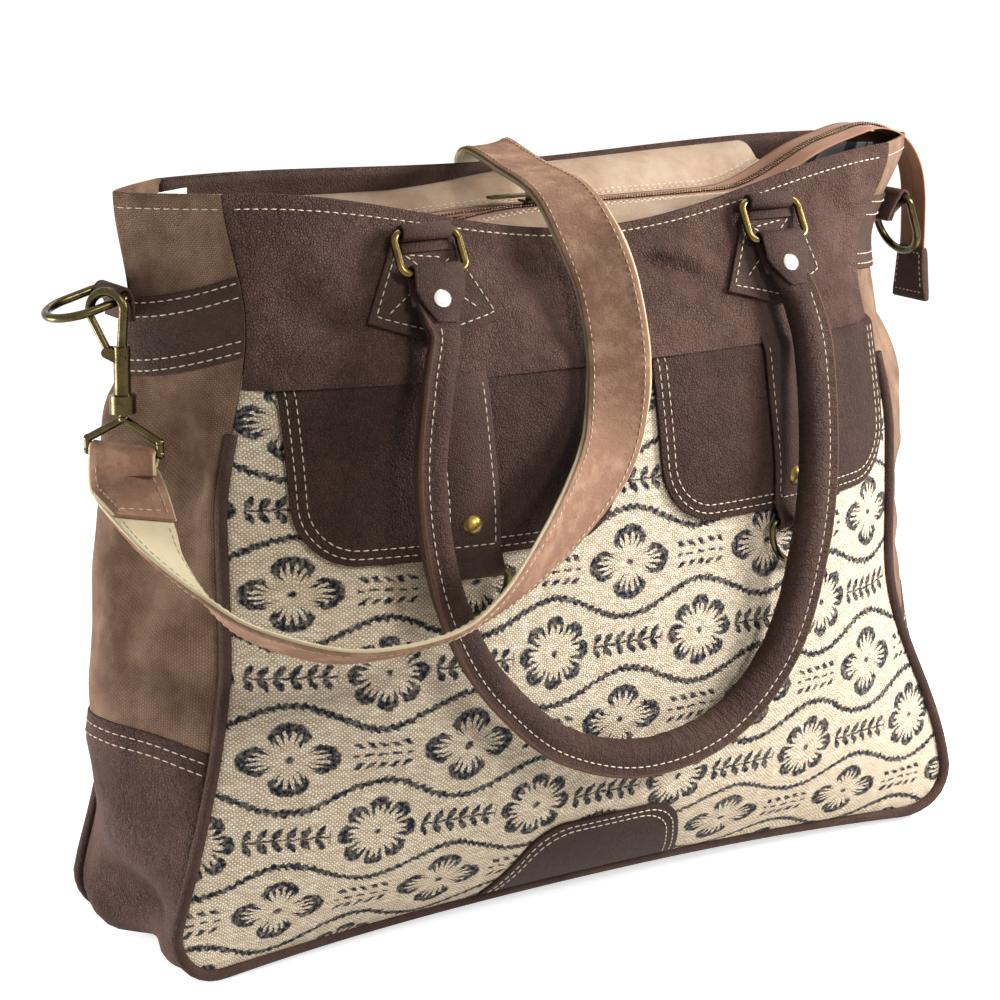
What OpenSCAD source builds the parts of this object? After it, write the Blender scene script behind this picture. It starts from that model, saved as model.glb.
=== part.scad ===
// Carpet bag: a soft holdall with a printed cotton front, leather trim, two rolled handles,
// two flap pockets, a zipped mouth and a clip-on shoulder strap.
// Millimetres. The origin is the middle of the base, X runs to the right, Y to the back, Z up.

/* [Bag] */
// Height of the rim at the side seams
bag_h = 405; // [380:5:440]
// Width across the flared base corners
base_w = 518; // [490:2:550]
// Width of the front panel at mid height
body_w = 430; // [410:2:450]
// Width where the gusset straps draw the bag in
neck_w = 390; // [370:2:410]
// Width of the rim between the side seams
rim_w = 426; // [410:2:440]
// Depth of the base between the two piped edges
base_d = 112; // [100:2:130]
// Depth of the mouth at the side seams
rim_d = 70; // [60:2:84]
// How far the filled panels swell past the side seams
belly = 44; // [30:1:50]
// How far the gussets swell past the side seams
gusset_full = 42; // [30:1:48]
// How far the front rim sags in the middle
rim_sag = 30; // [0:1:34]
// How far the back rim sags in the middle
back_sag = 6; // [0:1:12]
// How far the filled bag leans to the left at mid height
lean = 10; // [0:1:14]
// Radius of the lower panel corners
corner_r = 30; // [20:1:44]
// Thickness of the panels and gussets
wall = 2; // [1.6:0.1:2.4]
// Thickness of the lining cloth
lining_t = 0.8; // [0.6:0.1:1]

/* [Leather trim] */
// Thickness of the leather patches, flaps and straps
leather = 2; // [1.6:0.1:2.4]
// Height of the leather top bands
band_h = 93; // [87:1:100]
// Height of the seam between gusset cloth and leather base
base_seam_z = 122; // [100:1:140]
// Diameter of the piping
piping_d = 6.4; // [5:0.2:7]
// How far below the rim the piping ends on the side seams
piping_drop = 117; // [105:2:145]
// How far below the rim the middle of the gusset straps lies
gusset_strap_drop = 57; // [53:1:65]
// How far the right gusset strap sits above that middle, and the left one below
gusset_strap_tilt = 7; // [0:1:9]
// Width of the gusset straps
gusset_strap_w = 40; // [34:1:44]
// Width of the base patch at the bottom seam
patch_w = 130; // [100:2:150]
// Height of the base patch
patch_h = 60; // [40:1:70]

/* [Pockets] */
// Width of each pocket flap
flap_w = 180; // [160:2:184]
// Distance between the two flaps
flap_gap = 30; // [24:1:40]
// Height of each pocket flap
flap_h = 92; // [84:1:96]
// Radius of the lower flap corners
flap_r = 32; // [20:1:40]
// Width of the strap down the middle of each flap
pocket_strap_w = 32; // [28:1:34]
// Diameter of the domed stud on each pocket strap
stud_d = 11; // [8:0.5:14]
// Width of the D-ring on each pocket strap, between wire centres
pocket_ring_w = 38; // [38:0.5:41]
// Wire thickness of the pocket D-rings
pocket_ring_wire = 3.8; // [3:0.2:4.2]
// Width of each pocket pouch behind the front panel
pouch_w = 160; // [140:2:170]

/* [Handles] */
// Distance between the middles of the two handle tabs
handle_span = 220; // [206:2:230]
// Width of a handle tab at its lower corners
tab_w = 75; // [60:1:80]
// How far below the rim the ring bar in the fold of a handle tab lies
tab_bar_drop = 12; // [10:0.5:15]
// Width of a handle ring, between wire centres
ring_w = 38; // [36:0.5:42]
// Height of a handle ring, between wire centres
ring_h = 22; // [20:0.5:24]
// Wire thickness of the handle rings
ring_wire = 4.4; // [3.6:0.2:4.8]
// Diameter of the rolled handles
handle_d = 17; // [14:0.5:18]
// Width of the folded handle ends
handle_end_w = 26; // [22:0.5:28]
// Diameter of the handle rivets
rivet_d = 10; // [8:0.5:12]

/* [Shoulder strap] */
// Width of the shoulder strap
strap_w = 32; // [28:1:36]
// Thickness of the shoulder strap
strap_t = 3.6; // [3:0.2:4.2]
// Width of a gusset D-ring, between wire centres
d_ring_w = 34; // [32:0.5:38]
// Depth of a gusset D-ring, from bar to tip
d_ring_depth = 36; // [33:0.5:40]
// Wire thickness of the gusset D-rings
d_ring_wire = 4.4; // [3.6:0.2:4.8]
// Inner radius of the bow of a strap hook
hook_bow_r = 6.4; // [6:0.1:7.2]
// Wire thickness of the bow of a strap hook
hook_wire = 4.8; // [4:0.2:5.2]
// Length of the barrel of a strap hook
hook_barrel = 20; // [18:0.5:24]

/* [Zip] */
// How far below the rim the zip tape lies
zip_drop = 25; // [23:0.5:28]
// Width of each zip tape
tape_w = 17; // [14:0.5:20]
// Thickness of a zip tape
tape_t = 0.8; // [0.6:0.1:1]
// Thickness of the cloth panels beside the zip
zip_panel_t = 1.2; // [0.8:0.1:1.6]
// Width and height of one row of zip teeth
coil_w = 2.2; // [1.8:0.1:2.6]
// Place of the slider along the zip
slider_x = -6; // [-20:1:10]
// Length of the zip slider
slider_l = 13; // [11:0.5:16]
// Length of the zip pull
pull_l = 28; // [22:1:34]

/* [Hidden] */

fit = 0.3;
$fn = 24;

brown_leather = [0.29, 0.22, 0.20];
brown_canvas = [0.48, 0.37, 0.29];
cream_cotton = [0.85, 0.78, 0.67];
tan_cloth = [0.79, 0.67, 0.50];
rust_tape = [0.73, 0.50, 0.36];
old_brass = [0.48, 0.42, 0.21];
nickel = [0.86, 0.86, 0.85];
suede = [0.54, 0.40, 0.31];
striped_cotton = [0.80, 0.82, 0.86];

// Heights of the parts that keep their place below the rim
band_z = bag_h - band_h;
piping_top = bag_h - piping_drop;
gusset_strap_z = bag_h - gusset_strap_drop;
tab_bar_z = bag_h - tab_bar_drop;
zip_z = bag_h - zip_drop;

// Heights between which the outline of the bag changes
flare_h = 180;
shoulder_z = bag_h - 165;
neck_z = bag_h - 60;
full_z = 160;
taper_z = 120;
sag_z = bag_h - 85;
bend_z = bag_h - 155;
bend_h = 130;
hem_h = 60;
rim_belly = 14;
tuck = 12;
base_arch = 8;
piping_r = piping_d / 2;
seam_h = 1.55 * piping_r + fit;

// Layers over a panel: a patch lies on it, and a strap lies on a patch
lay = 0.6;
patch_out = lay + leather;
strap_out = patch_out + lay + leather;
pouch_room = 4;

function smooth(t) = let (c = min(1, max(0, t))) c * c * (3 - 2 * c);
function mix(a, b, t) = a + (b - a) * t;
function side_of(x) = x < 0 ? -1 : 1;
function unit(v) = v / norm(v);
function steps(a, b, n) = [for (i = [0:n]) mix(a, b, i / n)];

// Half width of the bag at height z
function half_w(z) =
    z < neck_z
        ? (body_w + (base_w - body_w) / 2 * (1 + cos(180 * min(1, z / flare_h)))
            - (body_w - neck_w) * smooth((z - shoulder_z) / (neck_z - shoulder_z))) / 2
        : mix(neck_w, rim_w, smooth((z - neck_z) / (bag_h - neck_z))) / 2;
function reach(z, side) = half_w(z) - side * lean * smooth((z - 50) / 110) * smooth((bag_h - z) / 60);

// Half depth at the side seams, and how far the panels swell past it
function edge_d(z) = base_d / 2 - (base_d - rim_d) / 2 * pow(max(0, (z - taper_z) / (bag_h - taper_z)), 2);
function swell(z) =
    z < full_z
        ? -tuck + (belly + tuck) * sin(90 * pow(max(0, z) / full_z, 0.7))
        : rim_belly + (belly - rim_belly) * cos(90 * pow((z - full_z) / (bag_h - full_z), 1.2));
function face_d(s, z) = edge_d(z) + swell(z) * (1 - pow(abs(s), 3));
function lift(s, z, sag) =
    (seam_h + base_arch * (1 - s * s)) * max(0, 1 - z / hem_h)
        - sag * pow(cos(90 * s), 2) * pow(max(0, (z - sag_z) / (bag_h - sag_z)), 1.5);

// A point on the front (face -1) or back (face 1) panel, moved outwards by out
function face_pt(x, z, out, face) =
    let (s = x / reach(z, side_of(x)))
        [x, face * (face_d(s, z) + out), z + lift(s, z, face < 0 ? rim_sag : back_sag)];
function corner_in(z) =
    z < corner_r ? corner_r - sqrt(corner_r * corner_r - pow(corner_r - z, 2)) : 0;

// How far a gusset swells at height z, and a point on it, t running from front to back
function gusset_out(z) = gusset_full * smooth(z / 160);
function gusset_bend(z) = mix(2, 1.3, smooth((z - bend_z) / bend_h));
function gusset_d(z) = edge_d(z) - wall - 2 * fit;
function gusset_pt(t, z, out, side) = [
    side * (reach(z, side) + gusset_out(z) * (1 - pow(abs(t), gusset_bend(z))) + out),
    t * gusset_d(z),
    z + seam_h * max(0, 1 - z / hem_h)
];

// Solid between two equal grids of points, columns running to the right as seen from outside
module grid_solid(outer, inner) {
    rows = len(outer) - 1;
    cols = len(outer[0]) - 1;
    shift = (rows + 1) * (cols + 1);
    function o(r, c) = r * (cols + 1) + c;
    function i(r, c) = shift + o(r, c);
    function two(a, b, c, d) = [[a, b, c], [a, c, d]];
    faces = [
        for (r = [0:rows - 1]) for (c = [0:cols - 1]) each two(o(r, c), o(r + 1, c), o(r + 1, c + 1), o(r, c + 1)),
        for (r = [0:rows - 1]) for (c = [0:cols - 1]) each two(i(r, c), i(r, c + 1), i(r + 1, c + 1), i(r + 1, c)),
        for (c = [0:cols - 1]) each two(o(0, c), o(0, c + 1), i(0, c + 1), i(0, c)),
        for (c = [0:cols - 1]) each two(i(rows, c), i(rows, c + 1), o(rows, c + 1), o(rows, c)),
        for (r = [0:rows - 1]) each two(i(r + 1, 0), o(r + 1, 0), o(r, 0), i(r, 0)),
        for (r = [0:rows - 1]) each two(o(r + 1, cols), i(r + 1, cols), i(r, cols), o(r, cols))
    ];
    polyhedron([for (row = outer) each row, for (row = inner) each row], faces);
}

// Closed solid through rings of points that turn the same way
module loft(rings) {
    n = len(rings[0]);
    last = len(rings) - 1;
    faces = [
        for (k = [0:last - 1]) for (j = [0:n - 1])
            let (a = k * n + j, b = k * n + (j + 1) % n)
                each [[a, b + n, b], [a, a + n, b + n]],
        [for (j = [0:n - 1]) j],
        [for (j = [n - 1:-1:0]) last * n + j]
    ];
    polyhedron([for (ring = rings) each ring], faces);
}

function heading(path, k) = unit(path[min(k + 1, len(path) - 1)] - path[max(k - 1, 0)]);
function round_ring(p, t, up, r, n) =
    let (a = unit(cross(t, up)), b = cross(a, t))
        [for (j = [0:n - 1]) p + r * (cos(360 * j / n) * a - sin(360 * j / n) * b)];
module tube(path, up, r, n) {
    loft([for (k = [0:len(path) - 1]) round_ring(path[k], heading(path, k), up, r, n)]);
}

// Points between the chosen points of a route, as a smooth curve
function between(a, b, c, d, t) =
    (2 * b + (c - a) * t + (2 * a - 5 * b + 4 * c - d) * t * t + (3 * b - a - 3 * c + d) * t * t * t) / 2;
function curve(pts, n) =
    let (last = len(pts) - 1) [
        for (k = [0:last - 1]) for (j = [0:n - 1])
            between(pts[max(k - 1, 0)], pts[k], pts[k + 1], pts[min(k + 2, last)], j / n),
        pts[last]
    ];

// Sheet that follows a panel between rows of [height, left x, right x]
module on_face(rows, cols, face, out, thick) {
    function sheet(o) = [
        for (row = rows) [
            for (k = [0:cols])
                face_pt(mix(row[1], row[2], face < 0 ? k / cols : 1 - k / cols), row[0], o, face)
        ]
    ];
    grid_solid(sheet(out), sheet(out - thick));
}

module rod(a, b, r) {
    v = b - a;
    translate(a)
        rotate([0, acos(v.z / norm(v)), atan2(v.y, v.x)])
            cylinder(h = norm(v), r = r);
}
module ball(p, r) {
    translate(p)
        sphere(r = r);
}

// Bar along X with its middle at the origin
module x_bar(length, r) {
    rotate([0, 90, 0])
        cylinder(h = length, r = r, center = true);
}
module y_bar(length, r) {
    rotate([90, 0, 0])
        cylinder(h = length, r = r, center = true);
}

// Body of the bag

function panel_rows(z0, z1, n) = [
    for (z = concat(z0 == 0 ? [0, 2, 6, 12, 20] : [], steps(z0 == 0 ? corner_r : z0, z1, n)))
        [z, corner_in(z) - reach(z, -1), reach(z, 1) - corner_in(z)]
];
pocket_x = flap_gap / 2 + flap_w / 2;
pouch_mouth_z = band_z - 14;
pouch_h = 116;
// The pocket mouth: how far its ends lie inside the pouch, and its height
mouth_in = 15;
mouth_h = 5;

module front_panel() {
    color(cream_cotton)
        difference() {
            on_face(panel_rows(0, band_z, 10), 20, -1, 0, wall);
            for (side = [-1, 1])
                translate([side * pocket_x, 0, pouch_mouth_z])
                    translate([0, -face_d(0, pouch_mouth_z), 0])
                        cube([pouch_w - 2 * mouth_in, 60, mouth_h], center = true);
        }
}
module front_band() {
    color(brown_leather)
        on_face(panel_rows(band_z + fit, bag_h, 7), 22, -1, 0, wall);
}
module back_panel() {
    color(brown_canvas)
        on_face(panel_rows(0, band_z, 10), 20, 1, 0, wall);
}
module back_band() {
    color(brown_leather)
        on_face(panel_rows(band_z + fit, bag_h, 6), 18, 1, 0, wall);
}

gusset_t = [-1, -0.85, -0.68, -0.5, -0.33, -0.18, -0.07, 0, 0.07, 0.18, 0.33, 0.5, 0.68, 0.85, 1];
module gusset_sheet(zs, side, out, thick, share = 1) {
    function sheet(o) = [for (z = zs) [for (t = gusset_t) gusset_pt(side * t * share, z, o, side)]];
    grid_solid(sheet(out), sheet(out - thick));
}
function strap_mid(side) = gusset_strap_z + side * gusset_strap_tilt;
function strap_rows(side) = steps(strap_mid(side) - gusset_strap_w / 2, strap_mid(side) + gusset_strap_w / 2, 4);
module gusset(side) {
    mid = strap_rows(side);
    zs = concat(
        steps(base_seam_z + fit, mid[0], 9),
        [mid[1], mid[2], mid[3]],
        steps(mid[4], bag_h, 3)
    );
    color(brown_canvas)
        gusset_sheet(zs, side, 0, wall);
}
module left_gusset() gusset(-1);
module right_gusset() gusset(1);

// Lower outline of the panels from the left side round the base to the right side, as [x, z, nx, nz]
function outline(top, n_side) =
    let (
        wl = reach(corner_r, -1) - corner_r,
        wr = reach(corner_r, 1) - corner_r,
        arc = steps(0, 90, 6)
    ) [
        for (z = steps(top, corner_r, n_side)) if (z > corner_r) [-reach(z, -1), z, -1, 0],
        for (a = arc) [-wl - corner_r * cos(a), corner_r * (1 - sin(a)), -cos(a), -sin(a)],
        for (k = [1:11]) [mix(-wl, wr, k / 12), 0, 0, -1],
        for (a = arc) [wr + corner_r * sin(a), corner_r * (1 - cos(a)), sin(a), -cos(a)],
        for (z = steps(corner_r, top, n_side)) if (z > corner_r) [reach(z, 1), z, 1, 0]
    ];
// Point on the seam at an outline point: the edge of the front or back panel
function seam_pt(q, face) = face_pt(q[0], q[1], 0, face);

// The base is flat over its middle and curves up to the seams
function base_swell(q, t) =
    q[3] == 0
        ? gusset_out(q[1]) * (1 - t * t)
        : mix(gusset_out(corner_r), seam_pt(q, -1).z, -q[3]) * min(1, 1.5 * (1 - t * t));
function base_pt(q, t, out) =
    let (
        p = seam_pt(q, -1),
        move = base_swell(q, t) + out
    ) [p.x + q[2] * move, t * (abs(p.y) - wall - 2 * fit), p.z + q[3] * move];
module base_gusset() {
    path = outline(base_seam_z, 5);
    last = len(path) - 1;
    ts = [1, 0.86, 0.7, 0.5, 0.25, 0, -0.25, -0.5, -0.7, -0.86, -1];
    function sheet(o) = [for (k = [last:-1:0]) [for (t = ts) base_pt(path[k], t, o)]];
    color(brown_leather)
        grid_solid(sheet(0), sheet(-wall));
}

// The piping lies in the nook outside the panel edge
module piping(face) {
    gap = piping_r + lay;
    path = [
        for (q = outline(piping_top, 7))
            seam_pt(q, face) + gap * [0.6 * q[2], 0.8 * face, 0.6 * q[3]]
    ];
    color(brown_leather)
        tube(path, [0, 1, 0], piping_r, 8);
}
module front_piping() piping(-1);
module back_piping() piping(1);

module gusset_strap(side) {
    color(brown_leather)
        gusset_sheet(strap_rows(side), side, patch_out, leather, 0.96);
}
module left_gusset_strap() gusset_strap(-1);
module right_gusset_strap() gusset_strap(1);

// Patch over the middle of the bottom seam, its top corners rounded
module front_base_patch() {
    patch_x = -8;
    top_r = 14;
    slope = 0.4;
    lower = piping_r + 2;
    function half(z) =
        patch_w / 2 - slope * (z - lower)
            - (z > patch_h - top_r ? top_r - sqrt(top_r * top_r - pow(z - patch_h + top_r, 2)) : 0);
    zs = concat(steps(lower, patch_h - top_r, 3), [for (a = [30, 60, 80]) patch_h - top_r + top_r * sin(a)]);
    color(brown_leather)
        on_face([for (z = zs) [z, patch_x - half(z), patch_x + half(z)]], 8, -1, patch_out, leather);
}

// Lining: a cloth bag that hangs from the rim and leaves room for the pocket pouches
function lining_in(z) = wall + 1 + pouch_room * smooth((bag_h - 40 - z) / 30);
lining_z = concat([18, 34], steps(hem_h, sag_z, 6), [for (d = [60, 42, 28, 16, 6]) bag_h - d]);
function lining_ring(z, inside) =
    let (
        o = lining_in(z) + inside,
        g = wall + 5 + inside,
        s = steps(-0.92, 0.92, 14),
        t = [-0.55, -0.3, 0, 0.3, 0.55]
    ) [
        for (k = s) face_pt(k * (reach(z, side_of(k)) - corner_in(z)), z, -o, -1),
        for (k = t) gusset_pt(k, z, -g, 1),
        for (k = s) face_pt(-k * (reach(z, side_of(-k)) - corner_in(z)), z, -o, 1),
        for (k = t) gusset_pt(-k, z, -g, -1)
    ];
module lining() {
    n = len(lining_ring(100, 0));
    last = len(lining_z) - 1;
    outside = [for (z = lining_z) each lining_ring(z, 0)];
    inside = [for (z = lining_z) each lining_ring(z, lining_t)];
    floor_up = [0, 0, lining_t];
    shift = len(outside);
    function ring_of(k, j) = k * n + (j + 1) % n;
    faces = [
        for (k = [0:last - 1]) for (j = [0:n - 1])
            let (a = k * n + j, b = ring_of(k, j)) each [[a, a + n, b + n], [a, b + n, b]],
        for (k = [0:last - 1]) for (j = [0:n - 1])
            let (a = shift + k * n + j, b = shift + ring_of(k, j)) each [[a, b + n, a + n], [a, b, b + n]],
        for (j = [0:n - 1])
            let (a = last * n + j, b = ring_of(last, j))
                each [[a, a + shift, b + shift], [a, b + shift, b]],
        for (j = [1:n - 2]) [0, j, j + 1],
        for (j = [1:n - 2]) [shift, shift + j + 1, shift + j]
    ];
    points = concat(outside, [for (k = [0:len(inside) - 1]) k < n ? inside[k] + floor_up : inside[k]]);
    color(striped_cotton)
        polyhedron(points, faces);
}

// Pockets

module pocket_flap(side) {
    top = band_z - fit / 2;
    low = top - flap_h;
    function half(z) =
        flap_w / 2 - (z < low + flap_r ? flap_r - sqrt(max(0, flap_r * flap_r - pow(low + flap_r - z, 2))) : 0);
    zs = concat([for (a = [0, 15, 35, 60]) low + flap_r * (1 - cos(a))], steps(low + flap_r, top, 4));
    rows = [for (z = zs) [z, side * pocket_x - half(z), side * pocket_x + half(z)]];
    color(brown_leather)
        on_face(rows, 12, -1, patch_out, leather);
}
module left_pocket_flap() pocket_flap(-1);
module right_pocket_flap() pocket_flap(1);

pocket_ring_r = pocket_ring_wire / 2;
pocket_fold_r = pocket_ring_r + fit + leather;
pocket_bar_z = band_z - flap_h - pocket_fold_r - 2.5;
pocket_bar_out = strap_out + fit;
// The fold and the ring follow the slope of the panel under the strap
function pocket_edge(side, across) =
    face_pt(side * pocket_x + across * pocket_strap_w / 2, pocket_bar_z, pocket_bar_out, -1);
function pocket_bar(side) = (pocket_edge(side, -1) + pocket_edge(side, 1)) / 2;
function pocket_slope(side) = atan((pocket_edge(side, 1).y - pocket_edge(side, -1).y) / pocket_strap_w);

module pocket_strap(side) {
    x = side * pocket_x;
    half = pocket_strap_w / 2;
    fold = pocket_bar(side);
    turn = [0, 0, pocket_slope(side)];
    rows = [for (z = steps(pocket_bar_z, band_z - fit / 2, 6)) [z, x - half, x + half]];
    color(brown_leather)
        difference() {
            union() {
                on_face(rows, 4, -1, strap_out, leather);
                translate(fold)
                    rotate(turn)
                        x_bar(pocket_strap_w, pocket_fold_r);
            }
            translate(fold)
                rotate(turn)
                    x_bar(pocket_strap_w + 20, pocket_ring_r + fit);
        }
}
module left_pocket_strap() pocket_strap(-1);
module right_pocket_strap() pocket_strap(1);

module pocket_stud(side) {
    stud_z = band_z - flap_h + 17;
    seat = face_pt(side * pocket_x, stud_z, strap_out + lay, -1);
    rise = atan((face_d(0.5, stud_z + 6) - face_d(0.5, stud_z - 6)) / 12);
    dome_h = 4;
    dome_r = (stud_d * stud_d / 4 + dome_h * dome_h) / (2 * dome_h);
    color(old_brass)
        translate(seat)
            rotate([0, 0, pocket_slope(side)])
                rotate([90 + rise, 0, 0])
                    intersection() {
                        translate([0, 0, dome_h - dome_r])
                            sphere(r = dome_r, $fn = 32);
                        cylinder(h = dome_h + 1, d = stud_d + 1);
                    }
}
module left_pocket_stud() pocket_stud(-1);
module right_pocket_stud() pocket_stud(1);

// Quarter bend of wire in the XY plane round a middle point, from angle a
module wire_bend(middle, bend, a, r) {
    translate(middle)
        rotate([0, 0, a])
            rotate_extrude(angle = 90)
                translate([bend, 0])
                    circle(r = r, $fn = 16);
}
// D-shaped wire ring: the bar on the Y axis, the bow towards X
module d_loop(width, depth, wire) {
    r = wire / 2;
    bend = 4;
    w = width / 2;
    leg = depth - w;
    y_bar(width - 2 * bend, r);
    wire_bend([bend, w - bend, 0], bend, 90, r);
    wire_bend([bend, bend - w, 0], bend, 180, r);
    for (y = [-w, w])
        rod([bend, y, 0], [leg, y, 0], r);
    wire_bend([leg, 0, 0], w, -90, r);
    wire_bend([leg, 0, 0], w, 0, r);
}

module pocket_ring(side) {
    depth = pocket_ring_w / 2 + 5;
    color(old_brass)
        translate(pocket_bar(side))
            rotate([0, 90, 90 + pocket_slope(side)])
                d_loop(pocket_ring_w, depth, pocket_ring_wire);
}
module left_pocket_ring() pocket_ring(-1);
module right_pocket_ring() pocket_ring(1);

// Pouch cloth sewn behind the panel round the pocket mouth
module pocket_pouch(side) {
    top = band_z - 4;
    low = top - pouch_h;
    function back(s, t) = wall + lay + 2.6 * smooth(5 * (1 - abs(s))) * smooth(5 * (1 - abs(t)));
    function sheet(extra) = [
        for (k = steps(-1, 1, 10)) [
            for (j = steps(-1, 1, 10))
                face_pt(side * pocket_x + j * pouch_w / 2, mix(low, top, (k + 1) / 2), -back(j, k) - extra, -1)
        ]
    ];
    color(striped_cotton)
        grid_solid(sheet(0), sheet(lining_t));
}
module left_pocket_pouch() pocket_pouch(-1);
module right_pocket_pouch() pocket_pouch(1);

// Handles

ring_r = ring_wire / 2;
tab_fold_r = ring_r + fit + leather;
end_fold_r = ring_r + fit + leather + 0.4;
tab_bar_out = tab_fold_r + 1.3;
end_bar_out = patch_out + end_fold_r + 3;
tab_x = handle_span / 2;

function tab_bar(side, face) = face_pt(side * tab_x, tab_bar_z, tab_bar_out, face);
// The lower bar stands off the tab so that the handle end clears it
function ring_lean(face) =
    let (low = face_pt(tab_x, tab_bar_z - ring_h * 0.93, end_bar_out, face))
        asin(min(0.6, (abs(low.y) - abs(tab_bar(1, face).y)) / ring_h));
function end_bar(side, face) =
    tab_bar(side, face) + ring_h * [0, face * sin(ring_lean(face)), -cos(ring_lean(face))];

module handle_tab(side, face) {
    x = side * tab_x;
    fold = tab_bar(side, face);
    low = tab_bar_z - 53;
    tip = low - 12;
    top_half = handle_end_w / 2 + 1.5;
    rows = [
        [tip, x - 4, x + 4],
        [low, x - tab_w / 2, x + tab_w / 2],
        for (k = [1:5])
            let (h = mix(tab_w / 2, top_half, k / 5)) [mix(low, tab_bar_z, k / 5), x - h, x + h]
    ];
    color(brown_leather)
        difference() {
            union() {
                on_face(rows, 6, face, patch_out, leather);
                translate(fold)
                    x_bar(ring_w - 2 * ring_r - 4, tab_fold_r);
            }
            translate(fold)
                x_bar(ring_w + 20, ring_r + fit);
        }
}
module front_left_tab() handle_tab(-1, -1);
module front_right_tab() handle_tab(1, -1);
module back_left_tab() handle_tab(-1, 1);
module back_right_tab() handle_tab(1, 1);

// Rounded wire rectangle in the XZ plane, hanging from a bar at the origin
module wire_frame(width, height, wire) {
    r = wire / 2;
    bend = 5;
    w = width / 2;
    for (z = [0, -height])
        translate([0, 0, z])
            x_bar(width - 2 * bend, r);
    for (x = [-w, w])
        rod([x, 0, -height + bend], [x, 0, -bend], r);
    for (corner = [[1, 0, 0], [-1, 0, 90], [-1, 1, 180], [1, 1, 270]])
        translate([corner[0] * (w - bend), 0, corner[1] == 0 ? -bend : -height + bend])
            rotate([90, 0, 0])
                rotate([0, 0, corner[2]])
                    rotate_extrude(angle = 90)
                        translate([bend, 0])
                            circle(r = r, $fn = 16);
}
module handle_ring(side, face) {
    color(old_brass)
        translate(tab_bar(side, face))
            rotate([face * ring_lean(face), 0, 0])
                wire_frame(ring_w, ring_h, ring_wire);
}
module front_left_ring() handle_ring(-1, -1);
module front_right_ring() handle_ring(1, -1);
module back_left_ring() handle_ring(-1, 1);
module back_right_ring() handle_ring(1, 1);

// Route of a handle below its folded ends, chosen by hand, front view, with heights from the rim
handle_points = [
    [-115, -84, -77], [-125, -93, -101], [-134, -102, -143], [-130, -108, -190], [-114, -110, -231],
    [-92, -111, -260], [-58, -110, -288], [-8, -109, -304], [44, -110, -295], [82, -111, -259],
    [99, -112, -205], [104, -111, -155], [110, -97, -101], [112, -84, -77]
];
rim = [0, 0, bag_h];
handle_route = [for (p = handle_points) p + rim];
// The end of a handle narrows from the roll to the flat fold round the ring bar
end_thick = 2 * leather + 1;
function end_start(side, face) =
    let (p = side < 0 ? handle_route[0] : handle_route[len(handle_route) - 1]) [p.x, -face * p.y, p.z];
function end_mid(side, face) =
    let (bar = end_bar(side, face), start = end_start(side, face))
        [mix(bar.x, start.x, 0.5), mix(bar.y, start.y, 0.5), mix(bar.z, start.z, 0.5)];
module handle_end(side, face) {
    bar = end_bar(side, face);
    half = handle_end_w / 2;
    function section(p, w, d) = [p + [-w, -d, 0], p + [w, -d, 0], p + [w, d, 0], p + [-w, d, 0]];
    loft([
        section(end_start(side, face) + [0, 0, -6], handle_d * 0.42, handle_d * 0.36),
        section(end_mid(side, face), half * 0.9, end_thick / 2),
        section(bar + [0, 0, -end_fold_r / 2], half, end_thick / 2)
    ]);
}
module handle(face) {
    path = [for (p = curve(handle_route, 3)) [p.x, -face * p.y, p.z]];
    color(brown_leather)
        difference() {
            union() {
                tube(path, [0, face, 0], handle_d / 2, 10);
                for (side = [-1, 1]) {
                    handle_end(side, face);
                    translate(end_bar(side, face))
                        x_bar(handle_end_w, end_fold_r);
                }
            }
            for (side = [-1, 1]) {
                translate(end_bar(side, face))
                    x_bar(handle_end_w + 30, ring_r + fit);
                rivet_place(side, face)
                    cylinder(h = 60, d = rivet_shank_d + 2 * fit, center = true);
            }
        }
}
module front_handle() handle(-1);
module back_handle() handle(1);

rivet_shank_d = 4;
rivet_cap_h = 2;
// Middle of a handle end, where its rivet goes through
module rivet_place(side, face) {
    bar = end_bar(side, face);
    top = bar + [0, 0, -end_fold_r / 2];
    low = end_mid(side, face);
    lean_out = atan(abs(low.y - top.y) / (top.z - low.z));
    spot = mix(top, low, min(0.9, (rivet_d / 2 + 3) / (top.z - low.z)));
    translate(spot)
        rotate([-face * (90 - lean_out), 0, 0])
            children();
}
module rivet(side, face) {
    grip = end_thick / 2;
    color(nickel)
        rivet_place(side, face) {
            translate([0, 0, -grip])
                cylinder(h = 2 * grip + 1, d = rivet_shank_d);
            translate([0, 0, grip])
                cylinder(h = rivet_cap_h, d = rivet_d);
        }
}
module front_left_rivet() rivet(-1, -1);
module front_right_rivet() rivet(1, -1);
module back_left_rivet() rivet(-1, 1);
module back_right_rivet() rivet(1, 1);

// Shoulder strap and its hooks

d_ring_r = d_ring_wire / 2;
d_fold_r = d_ring_r + fit + leather;
function d_ring_z(side) = strap_mid(side) + gusset_strap_w / 2 - 6;
// How far each D-ring hangs below level
d_droop = [15, 70];
function droop(side) = side < 0 ? d_droop[0] : d_droop[1];
function d_bar(side) = gusset_pt(0, d_ring_z(side), strap_out + fit + d_ring_r + 0.8, side);

module d_ring_tab(side) {
    half = d_ring_w / 2 - d_ring_r - 1.2;
    share = half / gusset_d(d_ring_z(side));
    mid = strap_rows(side);
    zs = [mid[0] + 4, mid[1], mid[2], mid[3], d_ring_z(side)];
    color(brown_leather)
        difference() {
            union() {
                gusset_sheet(zs, side, strap_out, leather, share);
                translate(d_bar(side))
                    y_bar(2 * half, d_fold_r);
            }
            translate(d_bar(side))
                y_bar(d_ring_w + 20, d_ring_r + fit);
        }
}
module left_d_ring_tab() d_ring_tab(-1);
module right_d_ring_tab() d_ring_tab(1);

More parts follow.
